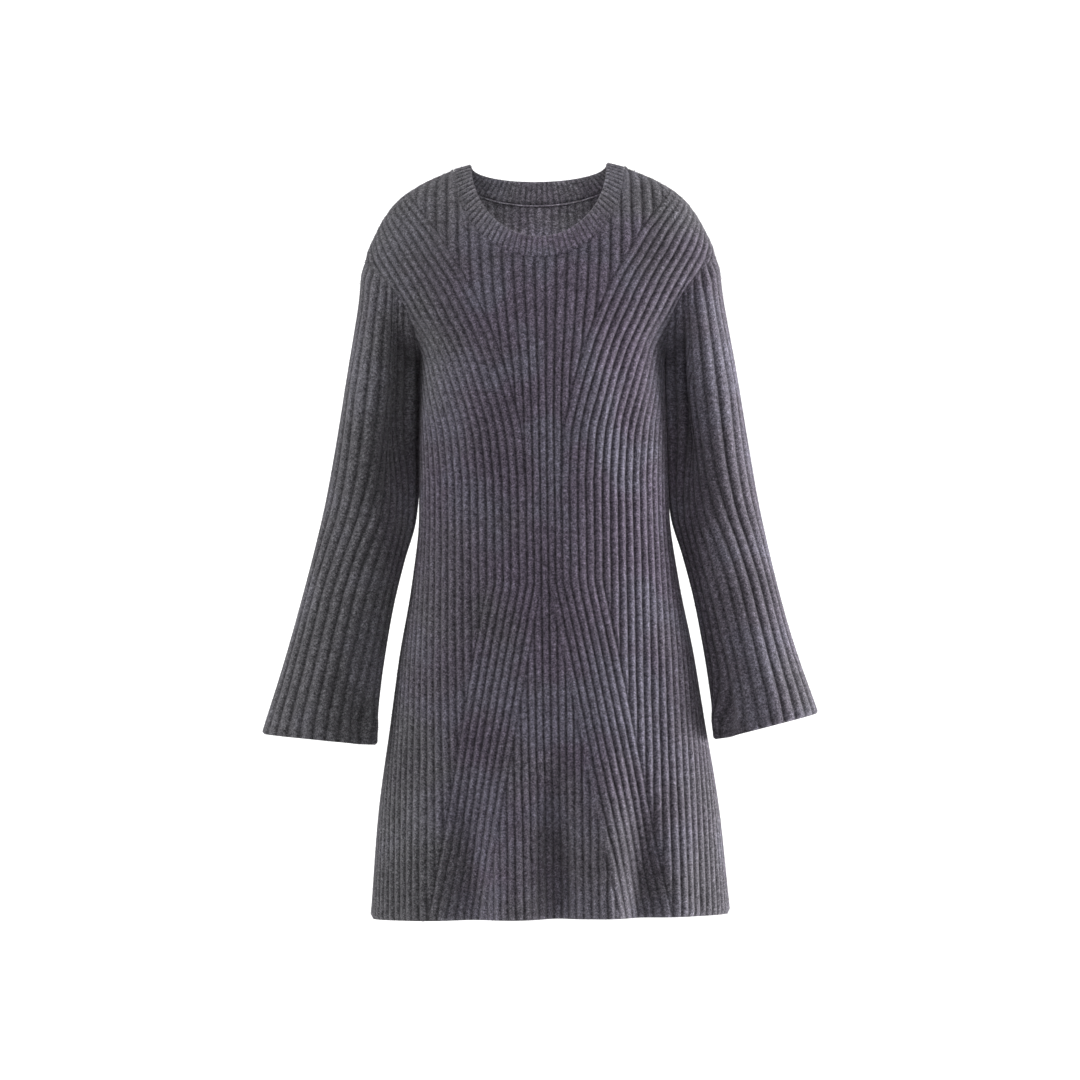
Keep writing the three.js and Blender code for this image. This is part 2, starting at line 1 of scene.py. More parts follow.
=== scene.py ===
"""A long-sleeved sweater dress in heathered charcoal wool, ribbed, hollow, as it hangs when it is worn.
Metres, +Z up, the front faces -Y. Each section makes one piece of the dress, with its own mesh,
material and frame calls."""
import math
import bpy
import numpy as np
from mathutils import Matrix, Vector


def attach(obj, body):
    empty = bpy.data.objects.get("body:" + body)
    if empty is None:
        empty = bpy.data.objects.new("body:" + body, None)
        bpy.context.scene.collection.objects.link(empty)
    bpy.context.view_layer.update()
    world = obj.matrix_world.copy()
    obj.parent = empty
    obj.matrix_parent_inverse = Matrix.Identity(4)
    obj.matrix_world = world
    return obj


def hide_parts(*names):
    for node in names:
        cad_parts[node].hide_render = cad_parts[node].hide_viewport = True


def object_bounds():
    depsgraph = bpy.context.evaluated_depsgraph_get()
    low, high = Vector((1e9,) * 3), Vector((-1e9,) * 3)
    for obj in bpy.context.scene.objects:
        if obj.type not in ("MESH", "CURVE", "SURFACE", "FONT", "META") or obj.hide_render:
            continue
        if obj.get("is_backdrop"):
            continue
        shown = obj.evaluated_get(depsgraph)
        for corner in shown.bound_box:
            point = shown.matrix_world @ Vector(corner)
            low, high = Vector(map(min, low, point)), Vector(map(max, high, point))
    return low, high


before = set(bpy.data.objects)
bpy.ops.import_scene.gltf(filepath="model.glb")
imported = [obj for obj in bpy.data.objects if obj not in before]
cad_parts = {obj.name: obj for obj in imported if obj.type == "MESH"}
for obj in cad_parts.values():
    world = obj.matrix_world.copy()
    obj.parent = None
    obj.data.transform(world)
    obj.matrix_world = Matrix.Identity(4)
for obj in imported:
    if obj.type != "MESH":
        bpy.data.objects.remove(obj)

cad_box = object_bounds()

# The camera
# It stands level with the middle of the dress, far off with a long lens. It rolls by the small
# angle at which the dress hangs in the photograph.
frame_width = 1.2312            # metres of the dress's own plane that the picture takes in
sensor_width = 36.0             # in millimetres, as the lens is
camera_distance = 9.0
camera_aim = Vector((-0.0053, -0.05, -0.4295))
camera_roll = math.radians(0.88)


def put_in_scene(name, data):
    """An object that holds the data, in the scene, at the origin."""
    made = bpy.data.objects.new(name, data)
    bpy.context.scene.collection.objects.link(made)
    return made


lens_data = bpy.data.cameras.new("camera")
lens_data.sensor_width = sensor_width
lens_data.lens = sensor_width * camera_distance / frame_width
camera = put_in_scene("camera", lens_data)
camera.location = camera_aim + Vector((0, -camera_distance, 0))
camera.rotation_euler = (math.pi / 2, camera_roll, 0)
bpy.context.scene.camera = camera
bpy.context.scene.view_settings.view_transform = "Standard"


# The front panel
# One ribbed, fully fashioned piece of wool, from the hem to the shoulders and the neckline, linked to
# the back at its sides and shoulders. The tables give its inner face, as its solid's do.
body_sections = np.array([
    # level, half width, depth of the front, depth of the back, power of the section's curve
    (-0.860, 0.2030, 0.108, 0.106, 2.5),
    (-0.740, 0.1920, 0.108, 0.110, 2.6),
    (-0.640, 0.1770, 0.105, 0.111, 2.7),
    (-0.560, 0.1650, 0.100, 0.106, 2.7),
    (-0.480, 0.1500, 0.093, 0.095, 2.7),
    (-0.400, 0.1403, 0.087, 0.083, 2.7),
    (-0.320, 0.1391, 0.091, 0.082, 2.7),
    (-0.219, 0.1367, 0.098, 0.088, 2.6),
    (-0.165, 0.1395, 0.090, 0.087, 2.5),
    (-0.109, 0.1950, 0.075, 0.078, 2.4),
    (-0.060, 0.1755, 0.056, 0.062, 2.4),
    (-0.028, 0.1390, 0.036, 0.042, 2.4),
    (-0.009, 0.0970, 0.018, 0.022, 2.4)])
shoulder_line = np.array([
    # level, half width
    (-0.109, 0.195), (-0.096, 0.192), (-0.081, 0.186), (-0.0665, 0.1795), (-0.053, 0.1705),
    (-0.042, 0.160), (-0.0335, 0.149), (-0.0265, 0.1365), (-0.0195, 0.1215), (-0.013, 0.106),
    (-0.009, 0.097)])
hem_level, chest_level, neck_top = -0.860, -0.252, -0.009
neck_wide, neck_drop = 0.097, {"front": 0.100, "back": 0.037}
underarm, shoulder_point = np.array([0.1395, -0.219]), np.array([0.195, -0.109])
armhole_depth, armhole_bow, underarm_inset = 0.052, 0.013, 0.003
groove_wall, rib_height, edge_wall = 0.0007, 0.0026, 0.0027
full_wall = groove_wall + rib_height
edge_round = 0.0035             # over this length a hem or cuff is rounded, and ribs end at a seam
seam_gap, seam_lap, lap_run = 0.0003, 0.0002, 0.004
# over these lengths the cloth turns into the armhole seam, the side seam's plane and the middle
seam_ease, side_ease, middle_ease = 0.026, 0.006, 0.004
calm_run = 0.04                 # folds fade out over this length beside a seam
lift_rise, shoulder_bulge, bulge_height = 0.0025, 0.003, 0.045


def through(x, y):
    """A smooth curve through the points: a cubic on each span, whose slope at a point is the
    harmonic mean of the slopes beside it, or none where they turn."""
    rise = np.diff(y) / np.diff(x)
    before, after = np.r_[rise[0], rise], np.r_[rise, rise[-1]]
    both = before * after
    slope = np.where(both <= 0, 0, 2 * both / np.where(before + after == 0, 1, before + after))

    def at(value):
        v = np.clip(value, x[0], x[-1])
        k = np.clip(np.searchsorted(x, v, side="right") - 1, 0, len(rise) - 1)
        span = x[k + 1] - x[k]
        t = (v - x[k]) / span
        ends = y[k] * (1 + 2 * t) * (1 - t) ** 2 + y[k + 1] * t ** 2 * (3 - 2 * t)
        return ends + span * (slope[k] * t * (1 - t) ** 2 - slope[k + 1] * t ** 2 * (1 - t))
    return at


table_wide, front_depth, back_depth, table_power = (
    through(body_sections[:, 0], column) for column in body_sections.T[1:])
table_depth = {"front": front_depth, "back": back_depth}
table_shoulder = through(*shoulder_line.T)


def smooth(value, low, high):
    """0 below low, 1 above high and 3t^2 - 2t^3 between."""
    t = np.clip((value - low) / (high - low), 0, 1)
    return t * t * (3 - 2 * t)


def unit(vectors):
    """The vectors at length one: each over its own length."""
    return vectors / np.linalg.norm(vectors, axis=-1, keepdims=True)


def armhole(turn):
    """The armhole seam, from 0 at the underarm to half a turn at the shoulder point: half an
    ellipse on the straight line between them, bowed towards the body by the sine squared."""
    chord = shoulder_point - underarm
    inward = np.array([-chord[1], chord[0]]) / np.hypot(*chord)
    flat = underarm + np.multiply.outer((1 - np.cos(turn)) / 2, chord)
    flat = flat + np.multiply.outer(armhole_bow * np.sin(turn) ** 2, inward)
    return np.stack([flat[..., 0], -armhole_depth * np.sin(turn), flat[..., 1]], -1)


way_underarm, way_forward, way_shoulder = np.array([[0, 0, -1.0], [0.15, -1, -0.1], [0.96, 0, 0.27]])


def armhole_normal(turn):
    """The way out of the cloth at the armhole: down at the underarm, forward in front and out at
    the shoulder point, mixed by the cosine and sine."""
    end = np.where(np.less(turn, np.pi / 2)[..., None], way_underarm, way_shoulder)
    return unit(end * np.abs(np.cos(turn))[..., None] + way_forward * np.sin(turn)[..., None])


armhole_steps = np.linspace(0, np.pi, 721)
armhole_levels = armhole(armhole_steps)[:, 2]


def plain_width(level, face):
    """Half the width of the section: the table's up to the underarm, then what takes the section
    through the armhole seam, and the shoulder line above the shoulder point."""
    turn = np.interp(level, armhole_levels, armhole_steps)
    seam = armhole(turn)
    power = table_power(level)
    share = np.clip(-seam[..., 1] / table_depth[face](level), 0, 0.999) ** power
    inset = underarm_inset * np.sqrt(np.maximum(0, np.cos(turn)))
    arm = (seam[..., 0] - inset) / (1 - share) ** (1 / power)
    low = np.where(level <= underarm[1], table_wide(level), arm)
    return np.where(level >= shoulder_point[1], table_shoulder(level), low)


def body_width(level, face):
    """The plain width, averaged over 36 mm of levels round the underarm, where it has a corner."""
    spread = np.linspace(-0.018, 0.018, 7)
    weights = np.array([1, 2, 3, 4, 3, 2, 1]) / 16
    soft = sum(w * plain_width(level + d, face) for w, d in zip(weights, spread))
    near = smooth(level, -0.27, -0.235) * (1 - smooth(level, -0.165, -0.13))
    return plain_width(level, face) * (1 - near) + soft * near


def body_point(face, level, angle):
    """The inner face: x is the half width times sin, and y the depth times (1 - sin^p)^(1/p)."""
    power = table_power(level)
    across = np.sin(angle)
    rest = np.maximum(0, 1 - np.abs(across) ** power)
    depth = table_depth[face](level) * rest ** (1 / power) * (-1 if face == "front" else 1)
    return np.stack([body_width(level, face) * across, depth, level + 0 * angle], -1)


def body_way(face, level, angle):
    """The way out of the inner face, not yet at length one: its step round crossed with its step
    up, both taken over small differences."""
    tilt = np.minimum(angle, np.pi / 2 - 0.02)
    around = body_point(face, level, tilt + 0.01) - body_point(face, level, tilt - 0.01)
    up = body_point(face, level + 0.002, tilt) - body_point(face, level - 0.002, tilt)
    return np.cross(around, up) * (1 if face == "front" else -1)


# the rib chart, in metres round the cloth from the middle
shaping_line = np.array([
    # level, how far out the line is, rib spacing inside it, rib spacing outside it
    (-0.360, 0.0246, 0.0082, 0.0092), (-0.310, 0.0280, 0.0083, 0.0094),
    (-0.256, 0.0400, 0.0088, 0.0100), (-0.204, 0.0560, 0.0102, 0.0106),
    (-0.168, 0.0710, 0.0112, 0.0110), (-0.133, 0.0880, 0.0120, 0.0110),
    (-0.105, 0.1050, 0.0123, 0.0110), (-0.076, 0.1230, 0.0124, 0.0110),
    (-0.030, 0.1650, 0.0124, 0.0110), (-0.009, 0.1900, 0.0124, 0.0110)])
line_at, middle_pitch, outer_pitch = (
    through(shaping_line[:, 0], column) for column in shaping_line.T[1:])
waist_pitch, side_pitch, skirt_pitch = 0.0082, 0.0092, 0.0085
band_pitch = waist_pitch * 0.25 + side_pitch * 0.75
band_top, band_swing, band_settle = -0.478, 0.19, 0.09
swung_ribs, first_outer = 7, 3
# the waist's ribs against the swung band's even spacing, at its top, in ribs
band_waist = np.array([8.2, 16.4, 24.6, 33.8, 43.0, 52.2, 61.4]) / 1000
band_shift = (band_waist - waist_pitch) / band_pitch - np.arange(swung_ribs)
crown_power, sunk_share, sink_run = 0.85, 0.25, 0.004
inside, outside, swung_band, new_ribs = range(4)
wander_height = 0.00013
wander_waves = ((167, 71, 0), (-233, 119, 1.3), (391, 43, 4.1))    # turns across, along, and start


def lift(level):
    """How far the shoulders and the neck stand above their table: a smooth rise of 2.5 mm."""
    return lift_rise * smooth(level, -0.07, -0.02)


def round_out(points):
    """The points with the dropped shoulder filled out sideways: 3 mm at the shoulder point, fading as
    a bell over 45 mm of height and with the fourth power of the way out."""
    bell = np.exp(-((points[..., 2] - shoulder_point[1]) / bulge_height) ** 2)
    points[..., 0] += shoulder_bulge * bell * (points[..., 0] / shoulder_point[0]) ** 4
    return points


def uneven(across, along):
    """How far a hand-loomed rib wanders from its line, within 0.4 mm: the sum of three slanted
    sines whose lengths share no common measure."""
    return wander_height * sum(np.sin(across * a + along * b + c) for a, b, c in wander_waves)


def rib_count(at, level, region=None):
    """Ribs counted from the middle, whole at each crown, the region that a place is in, and how far
    inside it the place is, so that a rib sinks where another cuts it off. Regions: inside the shaping
    line, outside it, the band that swings out below the waist, and new ribs of the skirt between the
    bands. Each count is length over spacing."""
    at = at + uneven(at, level) * smooth(at, 0, 0.006)
    line = line_at(level)
    swung = waist_pitch + band_swing * np.maximum(0, band_top - level)
    raw = (at - swung) / band_pitch
    settled = smooth(band_top - level, 0, band_settle)
    band = 1 + raw - (1 - settled) * np.interp(raw, np.arange(swung_ribs), band_shift)
    low = level < band_top
    band_end = swung_ribs + 0.5
    cut_line = line - outer_pitch(level) / 2
    if region is None:
        below = np.where(band < 0.5, new_ribs, np.where(band < band_end, swung_band, outside))
        region = np.where(low, below, np.where(at < cut_line, inside, outside))
    outer_count = first_outer + (at - line) / outer_pitch(level)
    count = np.where(region == inside, at / middle_pitch(level), outer_count)
    count = np.where(region == swung_band, band, count)
    count = np.where(region == new_ribs, at / skirt_pitch, count)
    cut = np.where(region == inside, np.abs(at - cut_line), 1.0)
    cut = np.where((region == outside) & low, (band - band_end) * band_pitch, cut)
    cut = np.where(region == new_ribs, (0.5 - band) * band_pitch, cut)
    return count, region, cut


def rib_form(count, cut):
    """A round crown between narrow grooves: the cosine of the way to the groove, to a power, sunk to
    a quarter where the rib is cut off."""
    off = np.abs((count + 0.5) % 1.0 - 0.5)
    crown = np.cos(np.pi * np.minimum(off, 0.499)) ** crown_power
    return crown * (sunk_share + (1 - sunk_share) * smooth(cut, 0, sink_run))


flutes = {  # where at the hem, half width, how far out, the level where it begins
    "front": [(-0.150, 0.034, 0.006, -0.64), (-0.092, 0.038, -0.021, -0.62),
              (-0.038, 0.032, 0.011, -0.64), (0.008, 0.031, -0.026, -0.64),
              (0.066, 0.032, 0.014, -0.60), (0.108, 0.026, -0.013, -0.66),
              (0.150, 0.030, 0.006, -0.66)],
    "back": [(-0.140, 0.034, -0.008, -0.62), (-0.080, 0.034, 0.008, -0.60),
             (-0.020, 0.034, -0.011, -0.61), (0.045, 0.034, 0.009, -0.64),
             (0.105, 0.032, -0.008, -0.60), (0.160, 0.028, 0.005, -0.68)]}
creases = {  # soft troughs and ridges: across, level, half width, half height, lean, how far out
    "front": [(0.092, -0.262, 0.020, 0.075, -0.10, -0.0035),
              (-0.100, -0.250, 0.018, 0.060, 0.15, -0.0025),
              (0.060, -0.330, 0.024, 0.090, 0.05, 0.0020),
              (-0.045, -0.420, 0.022, 0.080, -0.05, -0.0022),
              (0.035, -0.470, 0.020, 0.070, 0.08, 0.0018),
              (-0.110, -0.560, 0.022, 0.085, 0.10, 0.0022),
              (0.118, -0.610, 0.018, 0.080, -0.12, -0.0026),
              (-0.020, -0.300, 0.026, 0.070, 0.0, 0.0016)],
    "back": [(-0.070, -0.300, 0.022, 0.090, 0.06, -0.0034),
             (0.085, -0.340, 0.020, 0.070, -0.08, -0.0028),
             (0.010, -0.400, 0.030, 0.080, 0.03, 0.0024),
             (-0.040, -0.470, 0.022, 0.060, -0.1, 0.0020),
             (0.110, -0.540, 0.020, 0.090, -0.1, 0.0024),
             (-0.120, -0.200, 0.020, 0.060, 0.2, -0.0026)]}


def drape(face, at, level, room):
    """How far the cloth stands out: each flute is a squared cosine across, grown from its start to
    the hem, and each crease a bell across and along, leaning by its slope. It fades by the seams."""
    out = np.zeros_like(at)
    for middle, half, depth, start in flutes[face]:
        away = np.clip((at - middle) / half, -1, 1)
        out += depth * smooth(start - level, 0, start - hem_level) * np.cos(away * np.pi / 2) ** 2
    for x, z, wide, high, lean, depth in creases[face]:
        across = (at - x - lean * (level - z)) / wide
        out += depth * np.exp(-across ** 2 - ((level - z) / high) ** 2)
    return out * smooth(room, 0, calm_run)


def half_panel(face, side, columns, levels):
    """Inner face, outward normals, distances from the middle, levels and distances from the end of
    one half, as grids of levels by columns. Each level's section is walked at even steps of cloth
    from the middle or the neckline to the side, the armhole or the shoulder seam."""
    outward = -1.0 if face == "front" else 1.0
    z = levels[:, None]
    angles = np.linspace(0, np.pi / 2, 241)
    walk = np.linalg.norm(np.diff(body_point(face, z, angles[None, :]), axis=1), axis=-1)
    lengths = np.concatenate([np.zeros((len(levels), 1)), np.cumsum(walk, axis=1)], axis=1)

    # where each level ends and begins
    in_arm = (levels > underarm[1]) & (levels < shoulder_point[1])
    turn = np.interp(levels, armhole_levels, armhole_steps)
    seam, seam_normal = armhole(turn), armhole_normal(turn)
    power, depth = table_power(levels), table_depth[face](levels)
    sunk = np.clip(-seam[:, 1] / depth, 0, 0.999) ** power
    end_angle = np.where(in_arm, np.arcsin((1 - sunk) ** (1 / power)), np.pi / 2)
    dip = np.clip((neck_top - levels) / neck_drop[face], 0, 1)
    on_neck = levels > neck_top - neck_drop[face]
    start_x = np.where(on_neck, neck_wide * np.sqrt(1 - dip ** 2), 0)
    start_angle = np.arcsin(np.clip(start_x / body_width(levels, face), 0, 1))
    start = np.array([np.interp(a, angles, row) for a, row in zip(start_angle, lengths)])
    end = np.array([np.interp(a, angles, row) for a, row in zip(end_angle, lengths)])

    # only the outer half of the columns closes up where the armhole cuts in
    share = np.linspace(0, 1, columns + 1)[None, :]
    whole = lengths[:, -1]
    at = start[:, None] + (whole - start)[:, None] * share
    at = at - (whole - end)[:, None] * smooth(share, 0.42, 1)
    angle = np.array([np.interp(a, row, angles) for a, row in zip(at, lengths)])
    point = body_point(face, z, angle)
    normal = unit(body_way(face, z, angle))

    # towards the end the cloth turns into the armhole seam, or into the plane of the side seam
    room = end[:, None] - at
    near = smooth(1 - room / seam_ease, 0, 1) * in_arm[:, None]
    seam[:, 1] *= -outward
    seam_normal[:, 1] *= -outward
    point = point + (seam - point[:, -1])[:, None, :] * near[..., None]
    normal = normal + (seam_normal[:, None, :] - normal) * near[..., None]
    normal[..., 1] *= 1 - smooth(1 - room / side_ease, 0, 1) * ~in_arm[:, None]
    normal[..., 0] *= 1 - smooth(1 - at / middle_ease, 0, 1)
    normal = unit(normal)
    # the linked seams overlap by a fraction of a millimetre, so that no light comes through
    point[..., 1] -= outward * seam_lap * (1 - smooth(room, 0, lap_run))
    level = z + 0 * at
    point = point + normal * drape(face, side * at, level, room)[..., None]
    point[..., 2] += lift(z)
    return round_out(point), normal, at, level, room


def cell_corners(grid):
    """The four corner values of each cell of a grid, in order round the cell."""
    return np.stack([grid[:-1, :-1], grid[:-1, 1:], grid[1:, 1:], grid[1:, :-1]], 2)


def grid_faces(index, flip=False):
    """Quads of a grid of vertex numbers, one for each cell."""
    quads = cell_corners(index).reshape(-1, 4)
    return quads[:, ::-1] if flip else quads


def skin_numbers(outer, inner, used=0):
    """Vertex numbers of a fine outer skin and then of a coarse inner one, each as a grid."""
    fine = used + np.arange(outer[..., 0].size).reshape(outer.shape[:2])
    coarse = used + fine.size + np.arange(inner[..., 0].size).reshape(inner.shape[:2])
    return fine, coarse


def skin_faces(fine, coarse, fine_uv, coarse_uv, flip=False):
    """Quads of both skins, the inner one facing the other way, and the UV pairs of their corners."""
    quads = np.concatenate([grid_faces(fine, flip), grid_faces(coarse, not flip)])
    turned = -1 if flip else 1
    uv = np.concatenate([cell_uv.reshape(-1, 4, 2)[:, ::way]
                         for cell_uv, way in ((fine_uv, turned), (coarse_uv, -turned))])
    return quads, uv


def join_rows(fine, coarse, flip=False):
    """Triangles between a row of vertex numbers and a coarser one that ends with it: each coarse
    cell has a fan of the fine steps over its first half, and one over its second."""
    ratio = (len(fine) - 1) // (len(coarse) - 1)
    step = np.arange(len(fine) - 1)
    late = step % ratio >= ratio // 2
    fans = np.stack([fine[:-1], fine[1:], coarse[step // ratio + late]], -1)
    turn = np.arange(len(coarse) - 1) * ratio + ratio // 2
    faces = np.concatenate([fans, np.stack([fine[turn], coarse[1:], coarse[:-1]], -1)])
    return faces[:, ::-1] if flip else faces


def make_piece(name, points, material, quads=np.zeros((0, 4), int), quad_uv=np.zeros(2),
               triangles=np.zeros((0, 3), int)):
    """One mesh object from its points, its quads with a UV pair for each corner, and triangles."""
    corner_uv = np.zeros((quads.size + triangles.size, 2), np.float32)
    corner_uv[:quads.size] = quad_uv.reshape(-1, 2)
    loops = np.concatenate([quads.ravel(), triangles.ravel()]).astype(np.int32)
    used, loops = np.unique(loops, return_inverse=True)
    sizes = np.r_[np.full(len(quads), 4), np.full(len(triangles), 3)].astype(np.int32)
    mesh = bpy.data.meshes.new(name)
    mesh.vertices.add(len(used))
    mesh.vertices.foreach_set("co", np.ascontiguousarray(points[used], np.float32).ravel())
    mesh.loops.add(len(loops.ravel()))
    mesh.loops.foreach_set("vertex_index", loops.ravel().astype(np.int32))
    mesh.polygons.add(len(sizes))
    mesh.polygons.foreach_set("loop_start", np.r_[0, np.cumsum(sizes)[:-1]].astype(np.int32))
    mesh.update(calc_edges=True)
    mesh.validate()
    mesh.uv_layers.new(name="ribs").data.foreach_set("uv", corner_uv.ravel())
    mesh.shade_smooth()
    mesh.materials.append(material)
    return put_in_scene(name, mesh)


def panel_levels(face):
    """Levels from hem to neck: even in the skirt, closer over the chest, and on the neckline even
    round its ellipse. Each stretch has a multiple of four steps, for the coarser inner skin."""
    bottom = neck_top - neck_drop[face]
    low = np.linspace(hem_level, chest_level, 121)
    between = np.linspace(chest_level, underarm[1], 9)[1:]
    arm = armhole(np.linspace(0, np.pi, 49)[1:])[:, 2]
    rest = np.linspace(shoulder_point[1], bottom, 17)[1:] if face == "back" else np.array([])
    turns = np.radians(np.linspace(90, 0.3, 37 if face == "front" else 25))[1:]
    return np.concatenate([low, between, arm, rest, neck_top - neck_drop[face] * np.sin(turns)])


def new_material(name):
    """A material with nodes, and its node tree."""
    made = bpy.data.materials.new(name)
    made.use_nodes = True
    return made, made.node_tree


def feed(tree, node, sockets):
    """Gives each named socket of the node its value, or a link if that is another node's output."""
    for key, value in dict(sockets).items():
        if isinstance(value, bpy.types.NodeSocket):
            tree.links.new(value, node.inputs[key])
        else:
            node.inputs[key].default_value = value


def add_node(tree, kind, sockets=(), **settings):
    """A new node with its settings, its sockets fed."""
    added = tree.nodes.new(kind)
    for key, value in settings.items():
        setattr(added, key, value)
    feed(tree, added, sockets)
    return added


yarn_noises = {  # scale, detail, roughness
    "fleck": (600, 4, 0.85), "tuft": (270, 3, 0.75), "loose stitches": (150, 2, 0.6),
    "cloud": (14, 2, 0.5), "wandering dye": (9, 2, 0.6)}
dark_fibre, middle_fibre, pale_fibre = ((grey, grey, grey, 1) for grey in (0.028, 0.113, 0.36))
grey_dye, violet_dye, blue_dye = (0.985, 0.98, 1.04, 1), (1.06, 0.87, 1.22, 1), (0.95, 0.93, 1.21, 1)
painted_shade_start, painted_groove_shade = 0.14, 0.52      # where a groove's painted shade begins, and by how much the colour is painted darker in all
stitch_slant, stitch_looseness = 1.7, 2.2
sheen_tint = (0.82, 0.79, 0.85, 1)


def wool(name, stitch):
    """One heathered yarn, charcoal with a violet cast, made of dark, middle and pale fibres, in rib of
    the given stitch length. On the UV map, U counts ribs, with a crown at each whole number, and V is
    metres along them. Stitches are slanted bars that meet at each crown: a sine of V over the stitch's
    length plus 1.7 times the way to the crown. The heather is noise on object coordinates. Each groove
    has painted shade: its colour is darkened from the crown towards the groove's floor."""
    made, tree = new_material(name)
    tree.nodes.clear()
    place = add_node(tree, "ShaderNodeTexCoord").outputs["Object"]
    uv = add_node(tree, "ShaderNodeUVMap", uv_map="ribs").outputs[0]
    rib_turn, rib_run, _ = add_node(tree, "ShaderNodeSeparateXYZ", {0: uv}).outputs
    x, _, z = add_node(tree, "ShaderNodeSeparateXYZ", {0: place}).outputs

    def maths(operation, *values):
        return add_node(tree, "ShaderNodeMath", enumerate(values), operation=operation).outputs[0]

    def noise(scale, detail, rough):
        sockets = {"Vector": place, "Scale": scale, "Detail": detail, "Roughness": rough}
        return add_node(tree, "ShaderNodeTexNoise", sockets).outputs["Fac"]

    def fade(value, low, high, before, after):
        """Before below low, after above high, and a smooth step between."""
        sockets = {"Value": value, "From Min": low, "From Max": high, "To Min": before, "To Max": after}
        return add_node(tree, "ShaderNodeMapRange", sockets, interpolation_type="SMOOTHSTEP").outputs[0]

    def mixed(factor, first, second, blend="MIX"):
        sockets = {"Factor": factor, 6: first, 7: second}
        return add_node(tree, "ShaderNodeMix", sockets, data_type="RGBA", blend_type=blend).outputs[2]

    # the way to the crown: 0 on it, 0.5 in the groove
    off = maths("ABSOLUTE", maths("SUBTRACT", maths("FRACT", maths("ADD", rib_turn, 0.5)), 0.5))
    fleck, tuft, loose, cloud, wander = (noise(*size) for size in yarn_noises.values())
    loose = maths("MULTIPLY", maths("SUBTRACT", loose, 0.5), stitch_looseness)
    rows = maths("ADD", maths("DIVIDE", rib_run, stitch), loose)
    rows = maths("MULTIPLY_ADD", off, stitch_slant, rows)
    bars = maths("MULTIPLY_ADD", maths("SINE", maths("MULTIPLY", rows, 2 * math.pi)), 0.5, 0.5)

    # dark, middle and pale fibres, mixed by the noise, with a trace of the clouds and the stitches
    fibres = maths("ADD", maths("MULTIPLY", fleck, 0.60), maths("MULTIPLY", tuft, 0.40))
    fibres = maths("MULTIPLY_ADD", maths("SUBTRACT", cloud, 0.5), 0.12, fibres)
    fibres = maths("MULTIPLY_ADD", maths("SUBTRACT", bars, 0.5), 0.035, fibres)
    ramp = add_node(tree, "ShaderNodeValToRGB", {0: fibres})
    first, last = ramp.color_ramp.elements
    first.position, first.color = 0.38, dark_fibre
    last.position, last.color = 0.64, pale_fibre
    ramp.color_ramp.elements.new(0.50).color = middle_fibre

    # the dye: violet over the chest and belly, greyer towards the hem, the shoulders and one arm,
    # and blue-grey in clouds a hand wide, mostly where it is dyed
    stray = maths("SUBTRACT", wander, 0.5)
    sideways = maths("MULTIPLY_ADD", stray, 0.25, x)
    upward, shoulder = maths("MULTIPLY_ADD", stray, 0.9, z), maths("MULTIPLY_ADD", stray, 0.3, z)
    dye = maths("MULTIPLY", fade(sideways, -0.20, -0.02, 0.1, 1.0), fade(upward, -0.88, -0.55, 0.4, 1.0))
    dye = maths("MULTIPLY", dye, fade(sideways, 0.08, 0.2, 1.0, 0.6))
    dye = maths("MULTIPLY", dye, fade(shoulder, -0.13, -0.03, 1.0, 0.25))
    clouded = maths("MULTIPLY", fade(cloud, 0.45, 0.62, 0.0, 0.75), maths("MULTIPLY_ADD", dye, 0.75, 0.25))
    tint = mixed(clouded, mixed(dye, grey_dye, violet_dye), blue_dye)
    # painted shade: the colour darkens from each crown into its groove, standing in for the shade that
    # falls there, and is multiplied in with the fibres and the dye
    painted_shade_factor = fade(off, painted_shade_start, 0.5, 1.0, 1.0 - painted_groove_shade)
    dyed_with_painted_shade = mixed(1.0, mixed(1.0, ramp.outputs[0], painted_shade_factor, "MULTIPLY"), tint, "MULTIPLY")

    # relief: the round rib with its narrow groove, the stitches, and tufts of loose fibre
    relief = maths("MULTIPLY", maths("POWER", maths("COSINE", maths("MULTIPLY", off, math.pi)), 0.5), 0.8)
    for form, height in ((bars, 0.16), (fleck, 0.9), (tuft, 0.7)):
        relief = maths("MULTIPLY_ADD", form, height, relief)
    bump = add_node(tree, "ShaderNodeBump", {"Strength": 0.8, "Distance": 0.0012, "Height": relief})
    shader = add_node(tree, "ShaderNodeBsdfPrincipled", {
        "Base Color": dyed_with_painted_shade, "Normal": bump.outputs[0], "Roughness": 0.95, "Specular IOR Level": 0.12,
        "Sheen Weight": 0.22, "Sheen Roughness": 0.6, "Sheen Tint": sheen_tint})
    add_node(tree, "ShaderNodeOutputMaterial", {0: shader.outputs[0]})
    return made


inner_step = 4                      # the inner skin takes every fourth row and column
fuzz_places, fuzz_ways = [], []     # points of the outer skins, and the way out at each


def rounded(distance):
    """How much of the wall is left this far from an open edge: a quarter circle, never quite 0."""
    return np.sqrt(np.clip(1 - np.clip(1 - distance / edge_round, 0, 1) ** 2, 0.02, 1))


